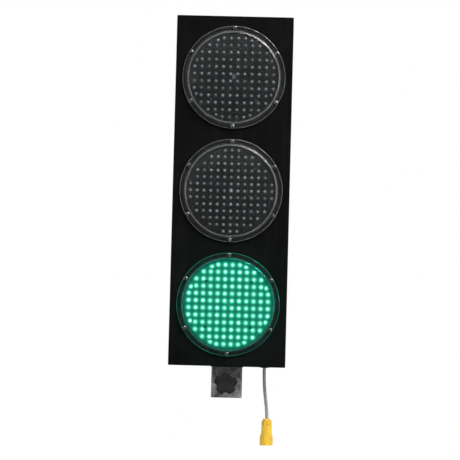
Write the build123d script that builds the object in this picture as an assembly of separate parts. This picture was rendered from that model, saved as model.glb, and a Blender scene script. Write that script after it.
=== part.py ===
from build123d import *
from math import cos, hypot, radians, sin, sqrt
import os

# Three-lamp traffic signal head on a square mast socket, in millimetres.
# Z is the mast's axis and points up, and the lamps look along -Y.
# The origin is where the end of the mast stops inside the socket.

# ---- Housing: one folded sheet-steel box, open at the back inside a return flange ----
HEAD_W = 250.0
HEAD_H = 750.0
HEAD_D = 116.0
FRONT_TO_MAST = 60.0
SHEET = 2.0
FOLD_R = 2.0
FLANGE_W = 20.0
DRAIN_R = 2.5
DRAIN_X = 100.0
DRAIN_Y = -44.0

FRONT = -FRONT_TO_MAST
REAR = FRONT + HEAD_D
BOTTOM = -SHEET
TOP = BOTTOM + HEAD_H
SIDE = HEAD_W / 2
WALL_IN = SIDE - SHEET
MID_Z = (BOTTOM + TOP) / 2

# ---- Lamps: three equal round modules, screwed to the front from outside ----
LAMP_PITCH = 243.0
LAMP_Z = {"green": MID_Z - LAMP_PITCH, "amber": MID_Z, "red": MID_Z + LAMP_PITCH}
PANEL_HOLE_R = 102.0
GASKET_T = 2.0
CUP_FLANGE_T = 3.0
CUP_FLANGE_R = 109.5
CUP_R = 100.5
CUP_BACK_R = 88.0
CUP_WALL = 2.5
CUP_STRAIGHT = 12.0
CUP_DEPTH = 54.0
CUP_RIBS = 16
CUP_RIB_H = 5.0
CUP_BOSS_R = 12.0
OUTLET_R = 4.6
LENS_FLANGE_R = 110.0
LENS_FLANGE_T = 3.0
LENS_R = 99.5
LENS_WALL = 2.5
LENS_RIM_H = 5.0
LENS_DOME = 10.0
LENS_EDGE_R = 4.0
LENS_BEVEL = 1.2
GATE_R = 3.0
SEAL_RING_R = (99.7, 102.3)
SEAL_RING_T = 1.5
SCREW_CIRCLE_R = 105.5
SCREWS_PER_LAMP = 6
M4_R = 2.0
M4_CLEAR_R = 2.25
M4_HEAD_R = 4.0
M4_HEAD_H = 2.6
M4_NUT_AF = 7.0
M4_NUT_H = 3.2
M4_LENS_LENGTH = 16.0
M4_CORD_LENGTH = 10.0
FIT_PLAY = 0.02

CUP_SEAT = FRONT - GASKET_T
LENS_SEAT = CUP_SEAT - CUP_FLANGE_T
LENS_FACE = LENS_SEAT - LENS_FLANGE_T
CUP_REAR = CUP_SEAT + CUP_DEPTH

# ---- LEDs: square grids whose outermost LEDs are pulled in onto a ring ----
# A grid is (pitch, shift): the amber one has an LED on the lamp's axis, and the others
# are shifted by half a pitch. The reach is in pitches.
EVEN_GRID = (15.4, 0.5)
ODD_GRID = (14.5, 0.0)
LED_GRIDS = {"red": EVEN_GRID, "amber": ODD_GRID, "green": EVEN_GRID}
LED_REACH = 6.2
LED_RING = 88.0
LED_R = 2.5
LED_BASE_R = 2.9
LED_BASE_H = 1.0
LED_H = 8.6
BOARD_T = 1.6
BOARD_R = 97.0
BOARD_FACE = FRONT + 4.6
BOARD_SCREW_XY = 48.5
BOARD_SCREW_R = 1.45
DRIVER_FACE = -30.0
DRIVER_W = 100.0
DRIVER_H = 70.0
DRIVER_POST_X = 42.0
DRIVER_POST_Z = 27.0
POST_R = 3.8
CHOKE_R = 11.0
CHOKE_BORE_R = 4.5
CHOKE_H = 9.0
CHOKE_AT = (-28.0, 12.0)
CAPACITOR_R = 6.0
CAPACITOR_H = 16.0
CAPACITORS_AT = ((4.0, 18.0), (20.0, 18.0))
BRIDGE_SIZE = (24.0, 10.0, 8.0)
BRIDGE_AT = (-24.0, -16.0)
HEADER_SIZE = (16.0, 8.0, 10.0)
HEADER_AT = (22.0, -16.0)

# ---- Mast socket: a square sleeve for a 60 mm mast ----
MAST = 60.0
SOCKET_IN = MAST + 1.0
SOCKET_WALL = 2.0
SOCKET_OUT = SOCKET_IN + 2 * SOCKET_WALL
SOCKET_CORNER_R = 4.0
SOCKET_DROP = 67.0
PLATE_T = 4.0
PLATE_W = 120.0
PLATE_D = 92.0
PLATE_CORNER_R = 6.0
BOLT_X = 50.0
BOLT_Y = 36.0
M6_R = 3.0
M6_CLEAR_R = 3.3
M6_HEAD_R = 6.0
M6_CONE_H = M6_HEAD_R - M6_R
M6_LENGTH = 18.0
M6_KEY_AF = 4.0
M6_KEY_DEPTH = 1.8
M6_NUT_AF = 10.0
M6_NUT_H = 6.0
M6_NUT_FLANGE_R = 6.5
M6_NUT_FLANGE_T = 1.2

# ---- Clamp screw: a star knob on an M10 stud with a loose tip ----
CLAMP_Z = BOTTOM - 35.0
STUD_R = 4.9
STUD_BORE_R = 5.0
STUD_PITCH = 1.5
CLAMP_NUT_H = 8.0
CLAMP_NUT_AF = 17.0
KNOB_R = 25.0
KNOB_HUB_R = 11.0
KNOB_HUB_H = 10.0
KNOB_H = 18.0
KNOB_LOBES = 5
KNOB_SCALLOP_R = 8.5
KNOB_SCALLOP_AT = 29.0
KNOB_DISH_R = 9.0
KNOB_DISH = 1.6
KNOB_SOCKET = 6.0
KNOB_GAP = 9.0
TIP_R = 3.8
TIP_L = 4.0
TIP_PIN_R = 1.9
TIP_PLAY = 0.1

SOCKET_FRONT = -SOCKET_OUT / 2
NUT_FACE = SOCKET_FRONT - CLAMP_NUT_H
HUB_BACK = NUT_FACE - KNOB_GAP
TIP_FACE = -SOCKET_IN / 2 - TIP_PLAY
TIP_BACK = TIP_FACE - TIP_L
STUD_FRONT = HUB_BACK - KNOB_HUB_H - KNOB_SOCKET

# ---- Rear door: a shallow pan on three hinges, with two quarter-turn latches ----
DOOR_X = 113.0
DOOR_SHEET = 1.5
DOOR_GAP = 0.5
SEAL_T = 3.0
SEAL_W = 5.3
DOOR_MARGIN = 12.0
DOOR_Z0 = BOTTOM + DOOR_MARGIN
DOOR_Z1 = TOP - DOOR_MARGIN
DOOR_IN = REAR + SEAL_T
DOOR_FACE = DOOR_IN + DOOR_SHEET
HINGE_R = 3.5
HINGE_X = -DOOR_X - HINGE_R - 0.5
HINGE_Y = REAR + HINGE_R + 0.2
HINGE_PIN_R = 2.0
HINGE_Z = (MID_Z - 273.0, MID_Z, MID_Z + 273.0)
KNUCKLE_HALF = 10.0
KNUCKLE_END = 28.0
KNUCKLE_PLAY = 0.3
LEAF_T = 1.5
LEAF_W = 22.0
LEAF_HALF = 22.0
RIVET_R = 2.0
RIVET_X = -101.0
RIVET_DZ = 14.0
RIVET_HEAD_R = 3.6
RIVET_HEAD_H = 1.5
RIVET_TAIL_R = 3.2
RIVET_TAIL_H = 1.3
PIN_HEAD_R = 3.0
PIN_HEAD_H = 1.5
LATCH_X = 84.0
LATCH_Z = {"upper": MID_Z + 183.0, "lower": MID_Z - 183.0}
LATCH_SLEEVE_R = 9.0
LATCH_FLANGE_R = 12.5
LATCH_END = REAR - 1.6
CAM_T = 3.0
CAM_W = 14.0
CAM_L = 30.0
CAM_BACK = REAR - SHEET - 0.4
CAM_FRONT = CAM_BACK - CAM_T
SPINDLE_R = 5.0
SPINDLE_HEAD_R = 7.0
SPINDLE_HEAD_H = 1.7
SPINDLE_SEAT = DOOR_FACE - 2.0
SPINDLE_SQUARE = 7.0
SPINDLE_END = CAM_BACK + 0.4
SLOT_W = 2.0
SLOT_L = 12.0
SLOT_DEPTH = 2.0

# ---- Wiring: terminal strip on the right wall, supply cable through the floor ----
WAYS = 8
WAY_PITCH = 12.0
STRIP_Z0 = 46.0
STRIP_Y0 = 12.0
STRIP_Y1 = 34.0
STRIP_BASE_X = 115.0
STRIP_TOP_X = 103.0
STRIP_EAR = 10.0
BARREL_X = 112.0
BARREL_R = 3.4
BARREL_BORE_R = 2.3
BARREL_SCREW_R = 1.9
BARREL_SCREW_DY = 6.0
CORE_R = 1.1
CORE_PAIR_DZ = 1.15
CORE_IN = 8.0
PIGTAIL_R = 2.5
PIGTAIL_X = 113.0
PIGTAIL_Y = {"red": -12.0, "amber": -20.0, "green": -30.0}
PIGTAIL_END_Z = {"red": 150.0, "amber": 126.0, "green": 102.0}
PIGTAIL_WAYS = {"red": (7, 6), "amber": (5, 4), "green": (3, 2)}
PIGTAIL_RUN_X = 82.0
PIGTAIL_RUN_Y = 18.0
PIGTAIL_DIP = 40.0
CORE_GAP = 1.2
BEND_R = 9.0
SUPPLY_WAYS = (7, 5, 3, 1)
LINKED_WAYS = (6, 4, 2, 1)
LINK_BULGE = 6.0
CABLE_R = 3.5
CABLE_X = 80.0
CABLE_Y = 25.0
CABLE_END_Z = 58.0
FEED_X = 113.0
FEED_Y = 44.0
FEED_BEND_Z = 46.0
CABLE_BEND_Z = 40.0
GROMMET_R = 7.5
GROMMET_LIP = 2.0
GROMMET_FOOT = 1.3
TAIL_X = 88.0
TAIL_START_Z = -6.0
TAIL_MID = (3.0, -60.0)
CABLE_IN_PLUG = 22.0

# ---- Cord clamp: an angle on the socket plate, and a saddle ----
CORD_SHEET = 2.0
CORD_LEG_X = CABLE_X - CABLE_R - 0.1 - CORD_SHEET
CORD_EAR_X = CORD_LEG_X + CORD_SHEET + 3.0
CORD_Z = 24.0
CORD_SCREW_DY = 11.0
CORD_HALF = 16.0
CORD_FOOT_X = 42.0
CORD_LEG_TOP = 36.0
SADDLE_HALF = 6.0
SADDLE_WALL = 2.6

# ---- Plug on the cable's tail ----
PLUG_TOP = -112.0
PLUG_GLAND_H = 16.0
PLUG_GLAND_AF = 19.0
PLUG_GLAND_DOME = 5.0
PLUG_GLAND_DOME_R = 8.6
PLUG_BODY_R = 11.0
PLUG_BODY_H = 38.0
PLUG_RING_R = 14.0
PLUG_RING_H = 20.0
PLUG_RING_DROP = 4.0
PLUG_BODY_TOP = PLUG_TOP - PLUG_GLAND_H
PLUG_BODY_END = PLUG_BODY_TOP - PLUG_BODY_H
PLUG_RING_END = PLUG_BODY_END - PLUG_RING_DROP
PLUG_WALL = 2.0
PLUG_PINS = 4
PLUG_PIN_R = 1.2
PLUG_PIN_CIRCLE_R = 4.6
PLUG_FLUTES = 18
PLUG_FLUTE_R = 1.0


# ---- Small helpers ----
def along_x(radius, x0, x1, y=0.0, z=0.0):
    return Pos((x0 + x1) / 2, y, z) * Rot(0, 90, 0) * Cylinder(radius, x1 - x0)


def along_y(radius, y0, y1, x=0.0, z=0.0):
    return Pos(x, (y0 + y1) / 2, z) * Rot(90, 0, 0) * Cylinder(radius, y1 - y0)


def along_z(radius, z0, z1, x=0.0, y=0.0):
    return Pos(x, y, (z0 + z1) / 2) * Cylinder(radius, z1 - z0)


def block(x0, x1, y0, y1, z0, z1):
    return Pos((x0 + x1) / 2, (y0 + y1) / 2, (z0 + z1) / 2) * Box(x1 - x0, y1 - y0, z1 - z0)


def hexagon(across_flats, height):
    """A hexagonal prism standing on Z = 0."""
    return extrude(RegularPolygon(across_flats / 2, 6, major_radius=False), height)


def turned(edges):
    """The solid that a closed outline of (radius, y) edges sweeps about the Y axis."""
    return revolve(make_face(edges), Axis.Y)


def outline(points):
    return Polyline(*points, close=True).edges()


def tube_along(path, radius):
    """A round wire or cable along a path."""
    wire = Wire(path.edges())
    return sweep(wire.location_at(0) * Circle(radius), path=wire)


def save(name, *pieces):
    shapes = [s for piece in pieces for s in piece.solids()]
    export_step(Compound(children=shapes) if len(shapes) > 1 else shapes[0], f"parts/{name}.step")


def on_screw_circle(make):
    """Six copies of a piece made at the top of the circle, turned about Y."""
    step = 360 / SCREWS_PER_LAMP
    return [Rot(0, step * i, 0) * make for i in range(SCREWS_PER_LAMP)]


def lamp_screw_places():
    """Centres of all the lamp screws, as (x, z)."""
    places = []
    for z in LAMP_Z.values():
        for i in range(SCREWS_PER_LAMP):
            turn = radians(90 + 360 / SCREWS_PER_LAMP * i)
            places.append((SCREW_CIRCLE_R * cos(turn), z + SCREW_CIRCLE_R * sin(turn)))
    return places


def led_places(lamp):
    """LED centres, as (x, z) from the lamp's centre."""
    pitch, shift = LED_GRIDS[lamp]
    steps = [i + shift for i in range(-7, 8)]
    places = []
    for i in steps:
        for k in steps:
            out = hypot(i, k)
            if out < LED_REACH:
                spacing = min(pitch, LED_RING / max(out, 1))
                places.append((i * spacing, k * spacing))
    return places


# ---- Fasteners ----
def pan_screw(shank_r, length, head_r, head_h):
    """Cross-recessed pan-head screw: seat at Y = 0, head towards -Y, shank towards +Y."""
    round_over = 0.45 * head_h
    head = along_y(head_r, -head_h, 0)
    head = fillet(head.edges().sort_by(Axis.Y)[0], round_over)
    wing, recess = 0.24 * head_r, 0.55 * head_h
    cross = Box(2 * 0.62 * head_r, recess, wing) + Box(wing, recess, 2 * 0.62 * head_r)
    shank = chamfer(along_y(shank_r, 0, length).edges().sort_by(Axis.Y)[-1], 0.2 * shank_r)
    return head + shank - Pos(0, -head_h + recess / 2, 0) * cross


def hex_nut(across_flats, height, bore_r):
    """Nut standing on Z = 0 with its top corners turned off."""
    body = hexagon(across_flats, height)
    cone = Pos(0, 0, height / 2) * Cylinder(across_flats * 0.57, height)
    cone = chamfer(cone.edges().sort_by(Axis.Z)[-1], height * 0.22)
    return (body & cone) - Pos(0, 0, height / 2) * Cylinder(bore_r, height)


def m4_screws():
    """Eighteen lens screws and the two screws of the cord clamp."""
    one = pan_screw(M4_R, M4_LENS_LENGTH, M4_HEAD_R, M4_HEAD_H)
    screws = [Pos(x, LENS_FACE, z) * one for x, z in lamp_screw_places()]
    short = pan_screw(M4_R, M4_CORD_LENGTH, M4_HEAD_R, M4_HEAD_H)
    for dy in (-CORD_SCREW_DY, CORD_SCREW_DY):
        screws.append(Pos(CORD_EAR_X, CABLE_Y + dy, CORD_Z) * Rot(0, 0, 90) * short)
    return screws


def m4_nuts():
    one = hex_nut(M4_NUT_AF, M4_NUT_H, M4_R + FIT_PLAY)
    nuts = [Pos(x, FRONT + SHEET, z) * Rot(-90, 0, 0) * one for x, z in lamp_screw_places()]
    for dy in (-CORD_SCREW_DY, CORD_SCREW_DY):
        nuts.append(Pos(CORD_LEG_X, CABLE_Y + dy, CORD_Z) * Rot(0, -90, 0) * one)
    for z in strip_stud_z():
        nuts.append(Pos(STRIP_BASE_X, strip_mid_y(), z) * Rot(0, -90, 0) * one)
    return nuts


# ---- Housing ----
def housing_shell():
    outer = block(-SIDE, SIDE, FRONT, REAR, BOTTOM, TOP)
    outer = fillet(outer.edges(), FOLD_R)
    inside = block(-WALL_IN, WALL_IN, FRONT + SHEET, REAR - SHEET, BOTTOM + SHEET, TOP - SHEET)
    opening_x = SIDE - FLANGE_W
    opening = block(-opening_x, opening_x, REAR - 2 * SHEET, REAR + 1,
                    BOTTOM + FLANGE_W, TOP - FLANGE_W)
    shell = outer - inside - opening
    for z in LAMP_Z.values():
        shell -= along_y(PANEL_HOLE_R, FRONT - 1, FRONT + SHEET + 1, z=z)
    for x, z in lamp_screw_places():
        shell -= along_y(M4_CLEAR_R, FRONT - 1, FRONT + SHEET + 1, x, z)
    half = SOCKET_OUT / 2 + 0.3
    shell -= block(-half, half, -half, half, BOTTOM - 1, 1)
    for x, y in socket_bolt_places():
        shell -= countersunk_hole(x, y)
    shell -= along_z(GROMMET_R, BOTTOM - 1, 1, CABLE_X, CABLE_Y)
    for x in (-DRAIN_X, DRAIN_X):
        shell -= along_z(DRAIN_R, BOTTOM - 1, 1, x, DRAIN_Y)
    for z in strip_stud_z():
        shell += along_x(M4_R, STRIP_BASE_X - 5, WALL_IN, strip_mid_y(), z)
    return shell


# ---- Mast socket and its plate ----
def socket_bolt_places():
    return [(x, y) for x in (-BOLT_X, BOLT_X) for y in (-BOLT_Y, BOLT_Y)]


def countersunk_hole(x, y):
    """Hole through floor and plate for a bolt whose head lies flush with the underside."""
    cone = Cone(M6_HEAD_R + FIT_PLAY, M6_R + FIT_PLAY, M6_CONE_H)
    hole = Pos(x, y, BOTTOM + M6_CONE_H / 2) * cone
    hole += along_z(M6_HEAD_R + FIT_PLAY, BOTTOM - 1, BOTTOM, x, y)
    return hole + along_z(M6_CLEAR_R, BOTTOM - 1, PLATE_T + 1, x, y)


def mast_socket():
    """Square sleeve, open below, closed above by the face that stops the mast."""
    height = SOCKET_DROP + SHEET + PLATE_T
    sleeve = extrude(RectangleRounded(SOCKET_OUT, SOCKET_OUT, SOCKET_CORNER_R), height)
    inner_corner = SOCKET_CORNER_R - SOCKET_WALL + 0.5
    hollow = extrude(RectangleRounded(SOCKET_IN, SOCKET_IN, inner_corner), height - PLATE_T)
    sleeve = Pos(0, 0, PLATE_T - height) * (sleeve - hollow)
    return sleeve - along_y(STUD_BORE_R + 0.3, SOCKET_FRONT - 1, 0, z=CLAMP_Z)


def socket_plate():
    plate = extrude(RectangleRounded(PLATE_W, PLATE_D, PLATE_CORNER_R), PLATE_T)
    half = SOCKET_OUT / 2 + 0.1
    plate -= block(-half, half, -half, half, -1, PLATE_T + 1)
    for x, y in socket_bolt_places():
        plate -= countersunk_hole(x, y)
    return plate


def socket_bolts():
    """Countersunk bolts pushed up through the floor."""
    bolt = Pos(0, 0, M6_CONE_H / 2) * Cone(M6_HEAD_R, M6_R, M6_CONE_H)
    bolt += along_z(M6_R, M6_CONE_H, M6_LENGTH)
    bolt -= hexagon(M6_KEY_AF, M6_KEY_DEPTH)
    return [Pos(x, y, BOTTOM) * bolt for x, y in socket_bolt_places()]


def socket_nuts():
    """Flanged M6 nuts; the cord bracket's foot lifts one of them."""
    bore_r = M6_R + FIT_PLAY
    nut = hex_nut(M6_NUT_AF, M6_NUT_H, bore_r)
    nut += along_z(M6_NUT_FLANGE_R, 0, M6_NUT_FLANGE_T) - along_z(bore_r, 0, M6_NUT_FLANGE_T)
    nuts = []
    for x, y in socket_bolt_places():
        lift = CORD_SHEET if x > 0 and y > 0 else 0.0
        nuts.append(Pos(x, y, PLATE_T + lift) * nut)
    return nuts


def clamp_nut():
    nut = Rot(90, 0, 0) * hex_nut(CLAMP_NUT_AF, CLAMP_NUT_H, STUD_BORE_R)
    return Pos(0, SOCKET_FRONT, CLAMP_Z) * nut


# ---- Clamp screw ----
def clamp_tip():
    """Loose brass tip that presses on the mast and doesn't turn."""
    tip = fillet(along_y(TIP_R, TIP_BACK, TIP_FACE).edges().sort_by(Axis.Y)[-1], 0.6)
    pin_hole = along_y(TIP_PIN_R + TIP_PLAY, TIP_BACK - 1, TIP_BACK + TIP_PIN_R + 3 * TIP_PLAY)
    return Pos(0, 0, CLAMP_Z) * (tip - pin_hole)


def clamp_stud():
    """Stud with ring grooves for its thread, and a pin that holds the tip."""
    back = TIP_BACK - TIP_PLAY
    pin_end = back + TIP_PIN_R
    groove_r = STUD_R - 0.4 * STUD_PITCH
    points = [(0, STUD_FRONT), (STUD_R, STUD_FRONT), (STUD_R, HUB_BACK)]
    turns = int((back - HUB_BACK) / STUD_PITCH)
    for i in range(turns):
        y = HUB_BACK + i * STUD_PITCH
        points += [(groove_r, y + STUD_PITCH / 2), (STUD_R, y + STUD_PITCH)]
    points += [(groove_r, back), (TIP_PIN_R, back), (TIP_PIN_R, pin_end), (0, pin_end)]
    return Pos(0, 0, CLAMP_Z) * turned(outline(points))


def star_knob():
    front = HUB_BACK - KNOB_HUB_H - KNOB_H
    star = Circle(KNOB_R)
    for i in range(KNOB_LOBES):
        turn = radians(90 + 180 / KNOB_LOBES + 360 / KNOB_LOBES * i)
        x, y = KNOB_SCALLOP_AT * cos(turn), KNOB_SCALLOP_AT * sin(turn)
        star -= Pos(x, y) * Circle(KNOB_SCALLOP_R)
    star = fillet(star.vertices(), 3.5)
    head = fillet(extrude(star, KNOB_H).edges().group_by(Axis.Z)[-1], 3.0)
    head = fillet(head.edges().group_by(Axis.Z)[0], 1.5)
    head -= Pos(0, 0, KNOB_H) * Cylinder(KNOB_DISH_R, KNOB_DISH)
    head = Pos(0, front + KNOB_H, CLAMP_Z) * Rot(90, 0, 0) * head
    hub = along_y(KNOB_HUB_R, front + KNOB_H, HUB_BACK, z=CLAMP_Z)
    hub = fillet(hub.edges().sort_by(Axis.Y)[-1], 1.0)
    return head + hub - along_y(STUD_R + FIT_PLAY, STUD_FRONT, HUB_BACK, z=CLAMP_Z)


# ---- Lamp module ----
def dome_arc(reach, apex, rise):
    """Arc of a shallow dome: level on the axis at apex, and fallen by rise at reach."""
    ball_r = (reach ** 2 + rise ** 2) / (2 * rise)
    half = apex + ball_r - sqrt(ball_r ** 2 - (reach / 2) ** 2)
    return ThreePointArc((0, apex), (reach / 2, half), (reach, apex + rise))


def corner_arc(reach, y, radius):
    """Quarter round from the dome's end at y out to the wall at reach."""
    short = radius * (1 - cos(radians(45)))
    return ThreePointArc((reach - radius, y), (reach - short, y + short), (reach, y + radius))


def lens(z):
    """Clear cover: a shallow dome on a rim, with a flange that the screws hold."""
    rim = LENS_FACE - LENS_RIM_H
    apex = rim - LENS_DOME
    inner_r = LENS_R - LENS_WALL
    inner_rim = rim + LENS_WALL
    inner_edge_r = LENS_EDGE_R - 1.0
    front = Polyline((LENS_R, rim + LENS_EDGE_R), (LENS_R, LENS_FACE),
                     (LENS_FLANGE_R - LENS_BEVEL, LENS_FACE))
    back = Polyline((LENS_FLANGE_R, LENS_FACE + LENS_BEVEL), (LENS_FLANGE_R, LENS_SEAT),
                    (inner_r, LENS_SEAT), (inner_r, inner_rim + inner_edge_r))
    shape = turned([
        dome_arc(LENS_R - LENS_EDGE_R, apex, LENS_DOME),
        corner_arc(LENS_R, rim, LENS_EDGE_R),
        *front.edges(),
        corner_arc(LENS_FLANGE_R, LENS_FACE, LENS_BEVEL),
        *back.edges(),
        corner_arc(inner_r, inner_rim, inner_edge_r),
        dome_arc(inner_r - inner_edge_r, apex + LENS_WALL, LENS_DOME),
        Line((0, apex + LENS_WALL), (0, apex)),
    ])
    shape += along_y(GATE_R, apex - 0.4, apex + 1.0)
    for hole in on_screw_circle(along_y(M4_CLEAR_R, LENS_FACE - 1, LENS_SEAT + 1, z=SCREW_CIRCLE_R)):
        shape -= hole
    return Pos(0, 0, z) * shape


def flat_ring(inner_r, outer_r, y0, y1):
    return along_y(outer_r, y0, y1) - along_y(inner_r, y0 - 1, y1 + 1)


def module_gasket(z):
    ring = flat_ring(PANEL_HOLE_R, CUP_FLANGE_R, CUP_SEAT, FRONT)
    for hole in on_screw_circle(along_y(M4_CLEAR_R, CUP_SEAT - 1, FRONT + 1, z=SCREW_CIRCLE_R)):
        ring -= hole
    return Pos(0, 0, z) * ring


def lens_seal(z):
    """Square-section ring in the cup flange's groove."""
    return Pos(0, 0, z) * flat_ring(*SEAL_RING_R, LENS_SEAT, LENS_SEAT + SEAL_RING_T)


def lamp_cup(z):
    """Moulded cup with a screw flange, board posts, back ribs and a cable outlet."""
    straight = CUP_SEAT + CUP_STRAIGHT
    inside_back = CUP_REAR - CUP_WALL
    cup = turned(outline([
        (CUP_R - CUP_WALL, LENS_SEAT), (CUP_FLANGE_R, LENS_SEAT), (CUP_FLANGE_R, CUP_SEAT),
        (CUP_R, CUP_SEAT), (CUP_R, straight), (CUP_BACK_R, CUP_REAR), (0, CUP_REAR),
        (0, inside_back), (CUP_BACK_R - CUP_WALL, inside_back), (CUP_R - CUP_WALL, straight),
    ]))
    groove_in, groove_out = SEAL_RING_R[0] - 0.1, SEAL_RING_R[1] + 0.1
    cup -= flat_ring(groove_in, groove_out, LENS_SEAT - 1, LENS_SEAT + SEAL_RING_T + 0.1)
    for hole in on_screw_circle(along_y(M4_CLEAR_R, LENS_SEAT - 1, CUP_SEAT + 1, z=SCREW_CIRCLE_R)):
        cup -= hole
    rib_top = CUP_REAR + CUP_RIB_H
    rib = block(2 * CUP_BOSS_R, CUP_BACK_R - 6, CUP_REAR - 0.5, rib_top, -1, 1)
    for i in range(CUP_RIBS):
        cup += Rot(0, 360 / CUP_RIBS * i, 0) * rib
    cup += along_y(CUP_BOSS_R, inside_back, rib_top)
    cup -= along_y(OUTLET_R, inside_back - 1, rib_top + 1)
    for x, dz in corners(BOARD_SCREW_XY, BOARD_SCREW_XY):
        cup += along_y(POST_R, BOARD_FACE + BOARD_T, inside_back + 1, x, dz)
        cup -= along_y(BOARD_SCREW_R + 0.05, BOARD_FACE, BOARD_FACE + 12, x, dz)
    for x, dz in corners(DRIVER_POST_X, DRIVER_POST_Z):
        cup += along_y(POST_R - 0.8, DRIVER_FACE + BOARD_T, inside_back + 1, x, dz)
    return Pos(0, 0, z) * cup


def corners(x, z):
    return [(a * x, b * z) for a in (-1, 1) for b in (-1, 1)]


def led_board(z):
    board = along_y(BOARD_R, BOARD_FACE, BOARD_FACE + BOARD_T)
    for x, dz in corners(BOARD_SCREW_XY, BOARD_SCREW_XY):
        board -= along_y(BOARD_SCREW_R + 0.25, BOARD_FACE - 1, BOARD_FACE + BOARD_T + 1, x, dz)
    return Pos(0, 0, z) * board


def board_screws():
    one = pan_screw(BOARD_SCREW_R, 8.0, 2.8, 1.9)
    return [Pos(x, BOARD_FACE, z + dz) * one for z in LAMP_Z.values()
            for x, dz in corners(BOARD_SCREW_XY, BOARD_SCREW_XY)]


def leds(lamp):
    """One 5 mm LED on each grid point."""
    shoulder = BOARD_FACE - LED_H + LED_R
    base = BOARD_FACE - LED_BASE_H
    one = turned([
        Line((0, BOARD_FACE), (LED_BASE_R, BOARD_FACE)),
        Line((LED_BASE_R, BOARD_FACE), (LED_BASE_R, base)),
        Line((LED_BASE_R, base), (LED_R, base)),
        Line((LED_R, base), (LED_R, shoulder)),
        ThreePointArc((LED_R, shoulder),
                      (LED_R * cos(radians(45)), shoulder - LED_R * sin(radians(45))),
                      (0, shoulder - LED_R)),
        Line((0, shoulder - LED_R), (0, BOARD_FACE)),
    ])
    return [Pos(x, 0, LAMP_Z[lamp] + dz) * one for x, dz in led_places(lamp)]


def driver(z):
    """Power board behind the LEDs: board, choke, two capacitors, a bridge and a header."""
    board = block(-DRIVER_W / 2, DRIVER_W / 2, DRIVER_FACE, DRIVER_FACE + BOARD_T,
                  -DRIVER_H / 2, DRIVER_H / 2)
    choke = flat_ring(CHOKE_BORE_R, CHOKE_R, DRIVER_FACE - CHOKE_H, DRIVER_FACE)
    can = along_y(CAPACITOR_R, DRIVER_FACE - CAPACITOR_H, DRIVER_FACE)
    can = fillet(can.edges().sort_by(Axis.Y)[0], 1.0)
    bridge, header = [Pos(0, DRIVER_FACE - size[1] / 2, 0) * Box(*size)
                      for size in (BRIDGE_SIZE, HEADER_SIZE)]
    placed = [(board, (0, 0)), (choke, CHOKE_AT), (bridge, BRIDGE_AT), (header, HEADER_AT)]
    placed += [(can, place) for place in CAPACITORS_AT]
    return [Pos(x, 0, z + dz) * part for part, (x, dz) in placed]


def cup_grommet(z):
    bore = PIGTAIL_R + 0.05
    neck, collar = OUTLET_R - 0.1, OUTLET_R + 2.4
    inside_back = CUP_REAR - CUP_WALL
    boss_top = CUP_REAR + CUP_RIB_H
    ring = turned(outline([
        (bore, inside_back), (neck, inside_back), (neck, boss_top),
        (collar, boss_top), (collar, boss_top + 2.5), (bore, boss_top + 4.0),
    ]))
    return Pos(0, 0, z) * ring


# ---- Wiring ----
def way_z(way):
    return STRIP_Z0 + WAY_PITCH * (way + 0.5)


def strip_mid_y():
    return (STRIP_Y0 + STRIP_Y1) / 2


def strip_stud_z():
    return STRIP_Z0 - STRIP_EAR / 2, STRIP_Z0 + WAYS * WAY_PITCH + STRIP_EAR / 2


def terminal_strip():
    """Moulded strip: one base with a tower round each clamp barrel."""
    end = STRIP_Z0 + WAYS * WAY_PITCH
    strip = block(STRIP_BASE_X, WALL_IN, STRIP_Y0, STRIP_Y1, STRIP_Z0 - STRIP_EAR, end + STRIP_EAR)
    for way in range(WAYS):
        z = way_z(way)
        strip += block(STRIP_TOP_X, STRIP_BASE_X, STRIP_Y0, STRIP_Y1, z - 4.8, z + 4.8)
        strip -= along_y(BARREL_R + 0.05, STRIP_Y0 - 1, STRIP_Y1 + 1, BARREL_X, z)
        for dy in (-BARREL_SCREW_DY, BARREL_SCREW_DY):
            strip -= along_x(BARREL_SCREW_R + 0.5, STRIP_TOP_X - 1, BARREL_X, strip_mid_y() + dy, z)
    for z in strip_stud_z():
        strip -= along_x(M4_CLEAR_R, STRIP_BASE_X - 1, WALL_IN + 1, strip_mid_y(), z)
    return strip


def terminal_clamps():
    """A brass barrel in each way, with a screw above each wire hole."""
    clamps = []
    for way in range(WAYS):
        z = way_z(way)
        barrel = along_y(BARREL_R, STRIP_Y0 + 1, STRIP_Y1 - 1, BARREL_X, z)
        barrel -= along_y(BARREL_BORE_R, STRIP_Y0, STRIP_Y1, BARREL_X, z)
        clamps.append(barrel)
        for dy in (-BARREL_SCREW_DY, BARREL_SCREW_DY):
            y = strip_mid_y() + dy
            screw = along_x(BARREL_SCREW_R, STRIP_TOP_X + 1.5, BARREL_X - BARREL_R - 0.1, y, z)
            slot = block(STRIP_TOP_X, STRIP_TOP_X + 2.3, y - 0.3, y + 0.3, z - 2, z + 2)
            clamps.append(screw - slot)
    return clamps


def pigtail(name):
    """Sheathed two-core lead from the cup's outlet to above its ways on the strip."""
    z = LAMP_Z[name]
    column = (PIGTAIL_X, PIGTAIL_Y[name])
    end = PIGTAIL_END_Z[name]
    over = max(z - PIGTAIL_DIP, end + PIGTAIL_DIP)
    path = FilletPolyline((0, DRIVER_FACE + BOARD_T + 2, z), (0, PIGTAIL_RUN_Y, z),
                          (PIGTAIL_RUN_X, PIGTAIL_RUN_Y, over),
                          (*column, over), (*column, end), radius=BEND_R)
    return tube_along(path, PIGTAIL_R)


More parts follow.
